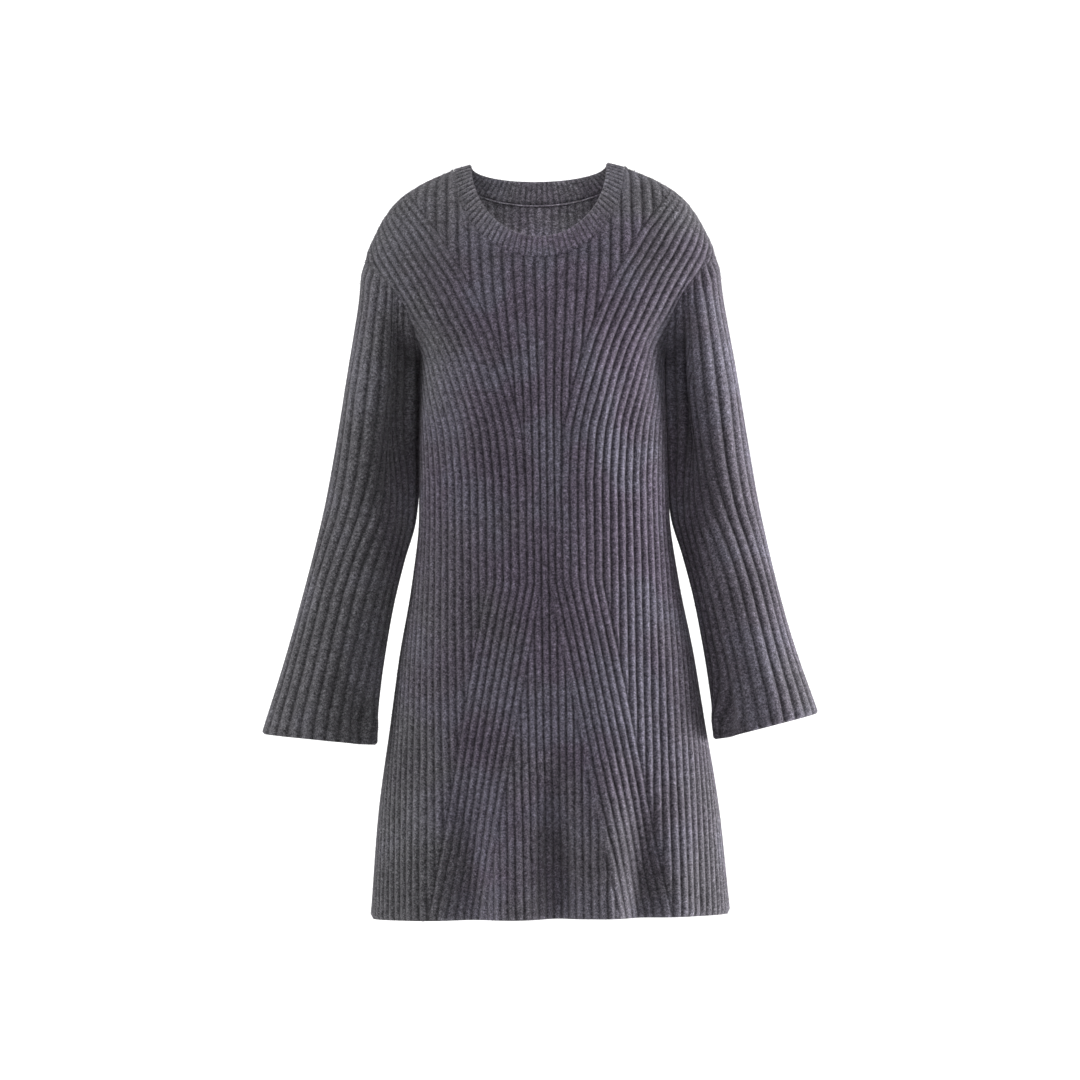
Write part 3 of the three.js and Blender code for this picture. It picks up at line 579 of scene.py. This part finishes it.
def build_panel(face, name, columns, material):
    """Both halves of a front or back: a ribbed outer skin, a plain inner skin a quarter as fine,
    and the rims between them at the hem, the sides, the armholes, the shoulders and the neck."""
    levels = panel_levels(face)
    bottom = neck_top - neck_drop[face]
    neck_row = int(np.argmax(levels > bottom + 1e-9)) - 1
    inner_neck_row = neck_row // inner_step
    points, quads, triangles, uvs = [], [], [], []
    used = 0
    for side in (-1, 1):
        mirror = np.array([side, 1, 1])
        point, normal, at, z, room = half_panel(face, side, columns, levels)
        ribs, region, cut = rib_count(at, z)
        edge = smooth(room, 0, edge_round) * np.where(z > bottom, smooth(at - at[:, :1], 0, edge_round), 1)
        thick = groove_wall + rib_height * rib_form(ribs, cut)
        thick = (edge_wall + (thick - edge_wall) * edge) * rounded(z - hem_level)
        outer = (point + normal * thick[..., None]) * mirror
        inner = point[::inner_step, ::inner_step] * mirror
        fuzz_places.append(outer.reshape(-1, 3))
        fuzz_ways.append((normal * mirror).reshape(-1, 3))
        points += [outer.reshape(-1, 3), inner.reshape(-1, 3)]
        fine, coarse = skin_numbers(outer, inner, used)
        used += fine.size + coarse.size

        # below the neckline the second half takes the middle column of the first
        if side < 0:
            middle, inner_middle = fine[:neck_row + 1, 0], coarse[:inner_neck_row + 1, 0]
        else:
            fine[:neck_row + 1, 0], coarse[:inner_neck_row + 1, 0] = middle, inner_middle
        cell_level = cell_corners(z)
        cell_rib = rib_count(cell_corners(at), cell_level, region[:-1, :-1, None])[0]
        fine_uv = np.stack([cell_rib * side, cell_level], -1)
        inner_rib = at[::inner_step, ::inner_step] / side_pitch * side
        coarse_uv = cell_corners(np.stack([inner_rib, z[::inner_step, ::inner_step]], -1))
        flip = (side > 0) == (face == "back")
        half_quads, half_uv = skin_faces(fine, coarse, fine_uv, coarse_uv, flip)
        quads.append(half_quads)
        uvs.append(half_uv)
        triangles += [join_rows(fine[0], coarse[0], not flip),
                      join_rows(fine[-1], coarse[-1], flip),
                      join_rows(fine[:, -1], coarse[:, -1], not flip),
                      join_rows(fine[neck_row:, 0], coarse[inner_neck_row:, 0], flip)]
    return make_piece(name, np.concatenate(points), material, np.concatenate(quads),
                      np.concatenate(uvs), np.concatenate(triangles))


panel_columns, panel_stitch = 200, 0.0036
panel_wool = wool("panel_wool", panel_stitch)
front = build_panel("front", "front", panel_columns, panel_wool)
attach(front, "root")
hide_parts("front_panel")


# The back panel
# A wool rib panel knitted like the front, linked to it, with a shallower neckline and its own fall
# in the skirt.
back = build_panel("back", "back", panel_columns, panel_wool)
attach(back, "root")
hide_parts("back_panel")


# The sleeves
# Each is a ribbed tube of the same wool, knitted flat and closed along its underside, set into a
# dropped armhole. It widens to an open cuff with no band. The ribs run along the arm.
sleeve_rings = np.array([
    # in millimetres: x and z of the inner edge, x and z of the outer edge, half depth, how far
    # forward the middle is, how far the inner edge is tucked back
    (140.4, -228, 201, -120, 58, 0, 8),
    (140.0, -242, 205, -145, 62, 0, 22),
    (139.6, -266, 213, -184, 65, -1, 32),
    (139.8, -292, 222, -232, 63, -3, 34),
    (141.1, -324, 231, -284, 60, -4, 34),
    (142.0, -362, 240, -336, 57, -4, 32),
    (146.0, -404, 249, -388, 53, -2, 20),
    (159.0, -450, 260, -438, 50, 2, 6),
    (171.0, -498, 272, -486, 48, 7, 0),
    (180.0, -546, 285, -534, 47, 12, 0),
    (187.0, -592, 299, -580, 46, 17, 0),
    (191.0, -630, 311, -616, 47, 21, 0),
    (192.0, -661, 319, -640, 48, 24, 0)]) / 1000
arm_hang = {
    # which side, how far the cuff swings out, widens and drops, how far its ribs curl at the inner
    # corner, and how wide the hollow beside the body is against the table
    "left": (1, -0.0045, -0.0045, 0.008, 0.08, 1.0),
    "right": (-1, 0.0045, 0.0035, -0.006, 0.0, 1.5)}
sleeve_creases = [
    # share of the turn from the inner edge, share of the way down, half sizes of both, lean, how far
    # out. The first is the hollow beside the body, and the second its like behind.
    (0.135, 0.24, 0.080, 0.25, -0.02, -0.0260), (0.870, 0.26, 0.060, 0.25, 0.02, -0.0120),
    (0.275, 0.18, 0.055, 0.20, 0.03, 0.0030),
    (0.22, 0.42, 0.07, 0.10, 0.25, -0.0050), (0.34, 0.55, 0.06, 0.09, -0.20, -0.0042),
    (0.16, 0.63, 0.06, 0.08, 0.30, 0.0030), (0.40, 0.30, 0.06, 0.10, 0.10, 0.0030),
    (0.28, 0.86, 0.05, 0.12, 0.12, 0.0040), (0.12, 0.90, 0.04, 0.10, -0.15, -0.0045),
    (0.62, 0.45, 0.07, 0.09, 0.20, -0.0050), (0.76, 0.58, 0.06, 0.08, -0.25, -0.0040),
    (0.70, 0.88, 0.05, 0.12, 0.10, 0.0038), (0.86, 0.35, 0.05, 0.09, 0.2, 0.0030),
    (0.055, 0.94, 0.030, 0.05, -0.10, 0.0045), (0.120, 0.94, 0.030, 0.07, -0.30, -0.0060)]
hollows = 2                     # how many of them are hollows
curl_turn, curl_spread = 0.08, 0.07
sleeve_power, sleeve_ribs = 2.2, 24
sleeve_columns, rows_per_ring, rows_to_seam, straight_rings = 240, 15, 8, 3
column_turn = np.arange(sleeve_columns) / sleeve_columns


def run_along(path):
    """The length run along a path at each of its points: the sum of its steps so far."""
    return np.r_[0, np.cumsum(np.linalg.norm(np.diff(path, axis=0), axis=-1))]


def points_at(path, run, wanted):
    """The path's points at the wanted lengths, on straight lines between its own."""
    return np.stack([np.interp(wanted, run, path[:, k]) for k in range(3)], -1)


def even_ring(path):
    """The path at even steps of its own length."""
    run = run_along(path)
    return points_at(path, run, np.linspace(0, run[-1], sleeve_columns + 1))


def closed(index):
    """A tube's grid of vertex numbers, with its first column again at the end."""
    return np.concatenate([index, index[:, :1]], axis=1)


def armhole_loop():
    """The armhole seam all round, front then back, half the seam's gap off the panels, and the way
    out of the cloth at each of its points."""
    half = 361
    turn = np.r_[np.linspace(0, np.pi, half), np.linspace(np.pi, 0, half)[1:]]
    loop, way = armhole(turn), armhole_normal(turn)
    loop[half:, 1] *= -1
    way[half:, 1] *= -1
    across = unit(np.cross(np.gradient(loop, axis=0), way))
    across *= np.sign(across[:, :1] - across[:, 2:])
    return loop + across * seam_gap / 2, way


def sleeve_rows(swing, widen, drop):
    """The ring table's columns by smooth curves, a row for each ring of the mesh. The cuff's swing,
    width and drop come in from the first ring to the last."""
    ring = np.arange(len(sleeve_rings), dtype=float)
    t = np.linspace(0, ring[-1], (len(ring) - 1) * rows_per_ring + 1)
    in_x, in_z, out_x, out_z, deep, forward, tuck = sleeve_rings.T
    low = smooth((in_z[0] - in_z) / (in_z[0] - in_z[-1]), 0, 1)
    hung = (in_x + low * swing * 0.6, in_z, out_x + low * (swing + widen), out_z + low ** 6 * drop,
            deep, forward, tuck)
    return [through(ring, column)(t)[:, None] for column in hung]


def sleeve_tube(rows, first_ring):
    """The plain tube: each ring is a squared-off ellipse on its own slanting line, at even steps, and
    the first eight rows ease from the armhole seam to the first ring."""
    in_x, in_z, out_x, out_z, deep, forward, tuck = rows
    inner_end, outer_end = np.hstack([in_x, in_z]), np.hstack([out_x, out_z])
    along = outer_end - inner_end
    half = np.linalg.norm(along, axis=-1, keepdims=True) / 2 - full_wall
    along = unit(along)
    middle = (inner_end + outer_end) / 2
    angle = np.linspace(0, 2 * np.pi, 721)
    across, ahead = (np.sign(v) * np.abs(v) ** (2 / sleeve_power) for v in (-np.cos(angle), np.sin(angle)))
    rings = np.stack([
        middle[:, :1] + along[:, :1] * half * across,
        -forward - (deep - full_wall) * ahead + tuck * (0.5 - 0.5 * across) ** 2,
        middle[:, 1:] + along[:, 1:] * half * across], -1)
    rings = np.array([even_ring(ring) for ring in rings])
    ease = np.linspace(0, 1, rows_to_seam + 1)[:-1, None, None]
    return np.concatenate([first_ring + (rings[0] - first_ring) * ease, rings])[:, :-1]


def sleeve_normals(tube, down, seam_way):
    """The way out of the tube: its step round crossed with its step down, and near the armhole the
    seam's own."""
    around = np.roll(tube, -1, axis=1) - np.roll(tube, 1, axis=1)
    normal = unit(np.cross(around, np.gradient(tube, axis=0)))
    centre = tube.mean(axis=1, keepdims=True)
    normal *= np.sign((normal * (tube - centre)).sum(axis=-1).mean())
    eased = smooth(down, 0, 0.035)[..., None]
    seam_turn = np.linspace(0, 1, len(seam_way))
    at_seam = points_at(seam_way, seam_turn, np.linspace(0, 1, sleeve_columns + 1)[:-1])
    return unit(at_seam[None] * (1 - eased) + normal * eased)


def sleeve_relief(down, hollow):
    """How far each point stands out: bells round and along the sleeve, the first ones soft where the
    inner edge runs, and none at the armhole."""
    inner_edge = smooth(np.minimum(column_turn, 1 - column_turn), 0, 0.06)
    out = np.zeros((len(down), sleeve_columns))
    for n, (around, share, wide, high, lean, depth) in enumerate(sleeve_creases):
        wide = wide * hollow if n == 0 else wide
        depth = depth * inner_edge if n < hollows else depth
        away = (column_turn - around - lean * (down - share) + 0.5) % 1 - 0.5
        out += depth * np.exp(-(away / wide) ** 2 - ((down - share) / high) ** 2)
    return out * smooth(down, 0, 0.1)


def sleeve_rib_count(tube, rows, down, curl):
    """Ribs counted round from the inner edge. From the third ring below the first they run straight
    up, at the same place across the sleeve's width, until the armhole seam cuts them off, and round
    the outer edge they gather to its top. At the cuff's inner corner a bell of curl bends them."""
    in_x, in_z, out_x, out_z = (row[:, 0] for row in rows[:4])
    in_edge, out_edge = (np.interp(-tube[..., 2], -z, x) for z, x in ((in_z, in_x), (out_z, out_x)))
    across = (tube[..., 0] - in_edge) / (out_edge - in_edge)
    here, half_way = rows_to_seam + straight_rings * rows_per_ring, sleeve_columns // 2
    front_share = np.maximum.accumulate(across[here, :half_way + 1])
    straight = np.interp(across, front_share, np.arange(half_way + 1) / sleeve_columns)
    straight[:, half_way + 1:] = 1 - straight[:, half_way + 1:]
    mixed = smooth(np.arange(len(tube)), here - 2 * rows_per_ring, here)[:, None]
    mixed = np.maximum(mixed, smooth(0.5 - np.abs(column_turn - 0.5), 0.33, 0.46))
    curled = curl * np.exp(-((column_turn - curl_turn) / curl_spread) ** 2) * smooth(down, 0.80, 1.0)
    return (straight * (1 - mixed) + column_turn * mixed + curled) * sleeve_ribs


def build_sleeve(name, hang, material):
    """The tube with its creases: a ribbed outer skin, a plain inner skin a quarter as fine, and the
    rims between them at the armhole and the cuff."""
    side, swing, widen, drop, curl, hollow = hang
    rows = sleeve_rows(swing, widen, drop)
    loop, loop_way = armhole_loop()
    tube = sleeve_tube(rows, even_ring(loop))
    down = np.linspace(0, 1, len(tube))[:, None]
    normal = sleeve_normals(tube, down, loop_way)
    tube = round_out(tube + normal * sleeve_relief(down, hollow)[..., None])
    ribs = sleeve_rib_count(tube, rows, down, curl)
    length = run_along(tube.mean(axis=1))[:, None]
    thick = groove_wall + rib_height * rib_form(ribs, np.ones_like(ribs))
    thick = edge_wall + (thick - edge_wall) * smooth(length, 0, 0.004)
    thick = thick * rounded(length[-1] - length)
    mirror = np.array([side, 1, 1])
    outer = (tube + normal * thick[..., None]) * mirror
    inner = tube[::inner_step, ::inner_step] * mirror
    fuzz_places.append(outer.reshape(-1, 3))
    fuzz_ways.append((normal * mirror).reshape(-1, 3))
    fine, coarse = (closed(index) for index in skin_numbers(outer, inner))
    ribs_round = np.concatenate([ribs, np.full((len(ribs), 1), sleeve_ribs)], axis=1)
    uv = np.stack(np.broadcast_arrays(ribs_round, -length), -1)
    flip = side > 0
    quads, quad_uv = skin_faces(fine, coarse, cell_corners(uv),
                                cell_corners(uv[::inner_step, ::inner_step]), flip)
    triangles = np.concatenate([join_rows(fine[0], coarse[0], not flip),
                                join_rows(fine[-1], coarse[-1], flip)])
    points = np.concatenate([outer.reshape(-1, 3), inner.reshape(-1, 3)])
    return make_piece(name, points, material, quads, quad_uv, triangles)


sleeve_stitch = 0.0040
sleeve_wool = wool("sleeve_wool", sleeve_stitch)
for hand in ("left", "right"):
    sleeve = build_sleeve(f"arm_{hand}", arm_hang[hand], sleeve_wool)
    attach(sleeve, "root")
    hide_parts(f"sleeve_{hand}")


# The neckband
# A double band of finer wool rib, picked up round the neckline, with a rounded rim that leans in
# a little.
rim_wide, rim_top, rim_drop, rim_rise = 0.077, -0.004, {"front": 0.083, "back": 0.016}, 0.0028
rim_lean = 0.86                 # the rim's depth against the seam's
rim_share, rim_thin, foot_share, crown_base = 0.12, 0.30, 0.10, 0.2
band_groove, band_rib, band_ribs, band_stitch = 0.0028, 0.0012, 90, 0.0026
band_columns = band_ribs * 8
band_shares = np.linspace(0, 1, 17)


def band_base():
    """The band's inner face and normals, once round from the front's middle, then its length round
    and its height. It is an ellipse on the cloth for its seam, an ellipse of its own for the rim, and
    straight lines between them."""
    quarter = np.radians(np.linspace(90, 0, 91))
    walks = [("front", quarter, 1), ("back", quarter[::-1][1:], 1),
             ("back", quarter[1:], -1), ("front", quarter[::-1][1:], -1)]
    seams, rims, normals = [], [], []
    for face, angle, side in walks:
        level = neck_top - neck_drop[face] * np.sin(angle)
        turn = np.arcsin(np.clip(neck_wide * np.cos(angle) / body_width(level, face), 0, 1))
        seam, normal = body_point(face, level, turn), body_way(face, level, turn)
        at_shoulder = np.sin(angle) < 0.001
        seam[at_shoulder, 1] = 0
        normal[at_shoulder, 1] = 0
        rim = np.stack([rim_wide * np.cos(angle), seam[:, 1] * rim_lean,
                        rim_top - rim_drop[face] * np.sin(angle)], -1)
        mirror = np.array([side, 1, 1])
        seams.append(seam * mirror)
        rims.append(rim * mirror)
        normals.append(unit(normal * mirror))
    seam, rim, normal = (np.concatenate(v) for v in (seams, rims, normals))
    run = run_along((seam + rim) / 2)
    wanted = np.linspace(0, run[-1], band_columns + 1)[:-1]
    seam, rim, normal = (points_at(v, run, wanted) for v in (seam, rim, normal))
    to_rim = rim - seam
    height = np.linalg.norm(to_rim, axis=-1, keepdims=True)
    square = unit(normal - to_rim * (normal * to_rim).sum(-1, keepdims=True) / height ** 2)
    seam = seam + to_rim / height * seam_gap
    seam[:, 2] += lift(seam[:, 2])
    rim[:, 2] += rim_rise
    base = seam + (rim - seam) * band_shares[:, None, None]
    return base, np.broadcast_to(square, base.shape), run[-1], height.mean()


band_inner, band_normal, band_round, band_high = band_base()
band_count = np.arange(band_columns + 1) / band_columns * band_ribs
crowns = rib_form(band_count[:-1], np.ones(band_columns))[None] - crown_base
near_rim = np.clip((band_shares - (1 - rim_share)) / rim_share, 0, 1)[:, None]
rim_round = np.sqrt(np.clip(1 - near_rim ** 2, 0.05, 1))
band_thick = band_groove + band_rib * crowns * smooth(band_shares, 0, foot_share)[:, None]
band_thick *= rim_thin + (1 - rim_thin) * rim_round
band_outer = band_inner + band_normal * band_thick[..., None]
inner_face = band_inner[::inner_step, ::inner_step]
fine, coarse = (closed(index) for index in skin_numbers(band_outer, inner_face))
band_uv = np.stack(np.broadcast_arrays(band_count[None, :], band_shares[:, None] * band_high), -1)
quads, quad_uv = skin_faces(fine, coarse, cell_corners(band_uv),
                            cell_corners(band_uv[::inner_step, ::inner_step]))
triangles = np.concatenate([join_rows(fine[0], coarse[0], True), join_rows(fine[-1], coarse[-1])])
band_wool = wool("neckband_wool", band_stitch)
band = make_piece("collar_band", np.concatenate([band_outer.reshape(-1, 3), inner_face.reshape(-1, 3)]),
                  band_wool, quads, quad_uv, triangles)
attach(band, "root")
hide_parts("neckband")


# The neck seam
# The chain that links the neckband to the panels, a round cord of the same yarn that shows inside
# the back of the neck. It sits over the join.
cord_sides, cord_radius, cord_inset = 8, 0.0011, 0.0002
chain_swell, chain_length = 0.22, 4     # each link is four columns long
cord_turn = np.arange(cord_sides)[:, None, None] / cord_sides * 2 * np.pi
cord_up = unit(band_inner[1] - band_inner[0])
cord_out = band_normal[0]
chain = 1 + chain_swell * np.cos(np.arange(band_columns) * 2 * np.pi / chain_length)[:, None]
cord_core = band_inner[0] - cord_out * cord_inset
cord = cord_core + cord_radius * chain * (np.cos(cord_turn) * cord_up + np.sin(cord_turn) * cord_out)
cord_index = closed(np.arange(cord[..., 0].size).reshape(cord.shape[:2]))
cord_quads = grid_faces(np.concatenate([cord_index, cord_index[:1]]), True)
neck_seam = make_piece("neck_seam", cord.reshape(-1, 3), band_wool, cord_quads)
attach(neck_seam, "root")


# The fuzz
# Loose ends of fibre that stand out of the whole knit, most of them a few millimetres long and
# bent over. Each is a thin ribbon of five points.
fuzz_count, fibre_half_width, shortest_fibre, fibre_spread = 62000, 0.00011, 0.0014, 0.0010
root_scatter, root_depth, to_elbow, past_elbow = 0.0006, 0.0004, 0.55, 0.5
droop = np.array([0, 0, -0.25])
dice = np.random.default_rng(11)
fuzz_places.append(band_outer.reshape(-1, 3))
fuzz_ways.append(band_normal.reshape(-1, 3))
places, ways = np.concatenate(fuzz_places), np.concatenate(fuzz_ways)
chosen = dice.integers(0, len(places), fuzz_count)
way = ways[chosen]
fibre_root = places[chosen] + dice.normal(0, root_scatter, (fuzz_count, 3)) - way * root_depth
lean = dice.normal(size=(fuzz_count, 3))
lean = unit(lean - way * (lean * way).sum(-1, keepdims=True))
fibre_length = shortest_fibre + dice.gamma(2.0, fibre_spread, (fuzz_count, 1))
rise = dice.uniform(0.25, 0.9, (fuzz_count, 1))
elbow = fibre_root + fibre_length * to_elbow * (way * rise + lean * (1 - rise * 0.6))
turned_over = dice.normal(size=(fuzz_count, 3)) * 0.45 + lean * 0.8 + droop
tip = elbow + fibre_length * past_elbow * (way * rise * 0.3 + turned_over * 0.7)
wide = unit(np.cross(tip - fibre_root, dice.normal(size=(fuzz_count, 3)))) * fibre_half_width
strand = np.stack([fibre_root - wide, fibre_root + wide, elbow + wide * 0.8, elbow - wide * 0.8, tip], 1)
start = np.arange(fuzz_count)[:, None] * strand.shape[1]
strand_faces = np.concatenate([start + [0, 1, 2], start + [0, 2, 3], start + [3, 2, 4]])
fuzz_fibre, fibre_tree = new_material("fuzz_fibre")
on_fibre = add_node(fibre_tree, "ShaderNodeTexCoord").outputs["Object"]
speckle = add_node(fibre_tree, "ShaderNodeTexNoise", {"Vector": on_fibre, "Scale": 300})
tone = add_node(fibre_tree, "ShaderNodeValToRGB", {0: speckle.outputs["Fac"]})
dark_end, pale_end = tone.color_ramp.elements
dark_end.position, dark_end.color = 0.3, (0.06, 0.055, 0.065, 1)
pale_end.position, pale_end.color = 0.7, (0.36, 0.34, 0.38, 1)
feed(fibre_tree, fibre_tree.nodes["Principled BSDF"], {
    "Base Color": tone.outputs[0], "Roughness": 0.9, "Specular IOR Level": 0.1})
fuzz = make_piece("fuzz", strand.reshape(-1, 3), fuzz_fibre, triangles=strand_faces)
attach(fuzz, "root")


# The floor and the light
# A plain pale studio: a round floor that curves up into its wall and glows evenly, with large soft
# lights beside and before the dress, so that its sides and the crowns of its ribs are bright.
floor_level, room_radius, room_height, curve, room_sides = -1.25, 15.0, 8.0, 4.0, 96
corner_turn = np.linspace(0, np.pi / 2, 17)
profile = np.concatenate([
    [[0.05, 0.0], [1.0, 0.0], [4.0, 0.0], [8.0, 0.0]],
    np.stack([room_radius - curve + curve * np.sin(corner_turn), curve - curve * np.cos(corner_turn)], -1),
    [[room_radius, room_height]]])
room_turn = np.linspace(0, 2 * np.pi, room_sides + 1)[:-1]
studio = np.stack([np.multiply.outer(profile[:, 0], np.cos(room_turn)),
                   np.multiply.outer(profile[:, 0], np.sin(room_turn)),
                   np.broadcast_to(profile[:, 1:] + floor_level, (len(profile), room_sides))], -1)
numbers = closed(np.arange(studio[..., 0].size).reshape(studio.shape[:2]))
floor_mesh = bpy.data.meshes.new("studio_floor")
floor_mesh.from_pydata(studio.reshape(-1, 3).tolist(), [],
                       grid_faces(numbers).tolist() + [numbers[0, :-1].tolist()])
floor_mesh.shade_smooth()
paper, paper_tree = new_material("paper")
in_room = add_node(paper_tree, "ShaderNodeTexCoord").outputs["Object"]
back_in_room = add_node(paper_tree, "ShaderNodeSeparateXYZ", {0: in_room}).outputs[1]
glow_range = {"Value": back_in_room, "From Min": -9.0, "From Max": 1.0, "To Min": 0.95, "To Max": 1.12}
glow = add_node(paper_tree, "ShaderNodeMapRange", glow_range, interpolation_type="SMOOTHSTEP")
feed(paper_tree, paper_tree.nodes["Principled BSDF"], {
    "Base Color": (0.2, 0.2, 0.2, 1), "Roughness": 1.0, "Specular IOR Level": 0.0,
    "Emission Color": (1, 1, 1, 1), "Emission Strength": glow.outputs[0]})
floor_mesh.materials.append(paper)
studio_floor = put_in_scene("studio_floor", floor_mesh)
studio_floor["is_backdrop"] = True

# A black screen below and in front, out of the picture, keeps the room's glow off the hollows. It
# has a long wing on the left and a short one on the right.
screen_side, screen_back, screen_front, screen_low, screen_high = 3.4, -0.4, -2.9, -1.2, 2.4
left_wing_end, right_wing_end = 1.6, -1.0
screen_mesh = bpy.data.meshes.new("screen")
screen_mesh.from_pydata([
    (-screen_side, screen_back, screen_low), (screen_side, screen_back, screen_low),
    (screen_side, screen_front, screen_low), (-screen_side, screen_front, screen_low),
    (screen_side, screen_front, screen_high), (-screen_side, screen_front, screen_high),
    (-screen_side, left_wing_end, screen_low), (-screen_side, left_wing_end, screen_high),
    (screen_side, right_wing_end, screen_low), (screen_side, right_wing_end, screen_high)],
    [], [(0, 1, 2, 3), (3, 2, 4, 5), (6, 3, 5, 7), (2, 8, 9, 4)])
black, black_tree = new_material("black")
feed(black_tree, black_tree.nodes["Principled BSDF"], {
    "Base Color": (0.01, 0.01, 0.01, 1), "Specular IOR Level": 0.0})
screen_mesh.materials.append(black)
screen = put_in_scene("screen", screen_mesh)
screen.visible_camera = False
screen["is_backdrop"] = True


def add_lamp(name, kind, place, aim, power):
    """A lamp of the given kind at a place, turned to its aim and out of the camera's sight."""
    data = bpy.data.lights.new(name, kind)
    data.energy = power
    lamp = put_in_scene(name, data)
    lamp.location = place
    lamp.rotation_euler = (Vector(aim) - Vector(place)).to_track_quat("-Z", "Y").to_euler()
    lamp.visible_camera = False
    return data


middle_of_dress = (0, 0, -0.42)
soft_lights = [  # name, place, size, power
    ("light_front", (0.2, -2.6, 0.5), 0.9, 24),
    ("light_left", (-2.6, -0.9, 0.3), 1.0, 40),
    ("light_right", (2.8, -0.1, -0.7), 1.0, 112)]
for lamp_name, lamp_place, lamp_size, lamp_power in soft_lights:
    soft_light = add_lamp(lamp_name, "AREA", lamp_place, middle_of_dress, lamp_power)
    soft_light.shape = "SQUARE"
    soft_light.size = lamp_size
neck_light = add_lamp("light_neck", "SPOT", (0.0, -1.6, 1.05), (0, 0.05, -0.075), 190)
neck_light.spot_size = math.radians(4.6)
neck_light.spot_blend = 0.9
neck_light.shadow_soft_size = 0.05
world = bpy.data.worlds.new("world")
world.use_nodes = True
feed(world.node_tree, world.node_tree.nodes["Background"], {"Color": (1, 1, 1, 1), "Strength": 0.7})
bpy.context.scene.world = world

dressed_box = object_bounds()
as_lists = lambda box: [[float(v) for v in corner] for corner in box]
{"cad": as_lists(cad_box), "dressed": as_lists(dressed_box)}
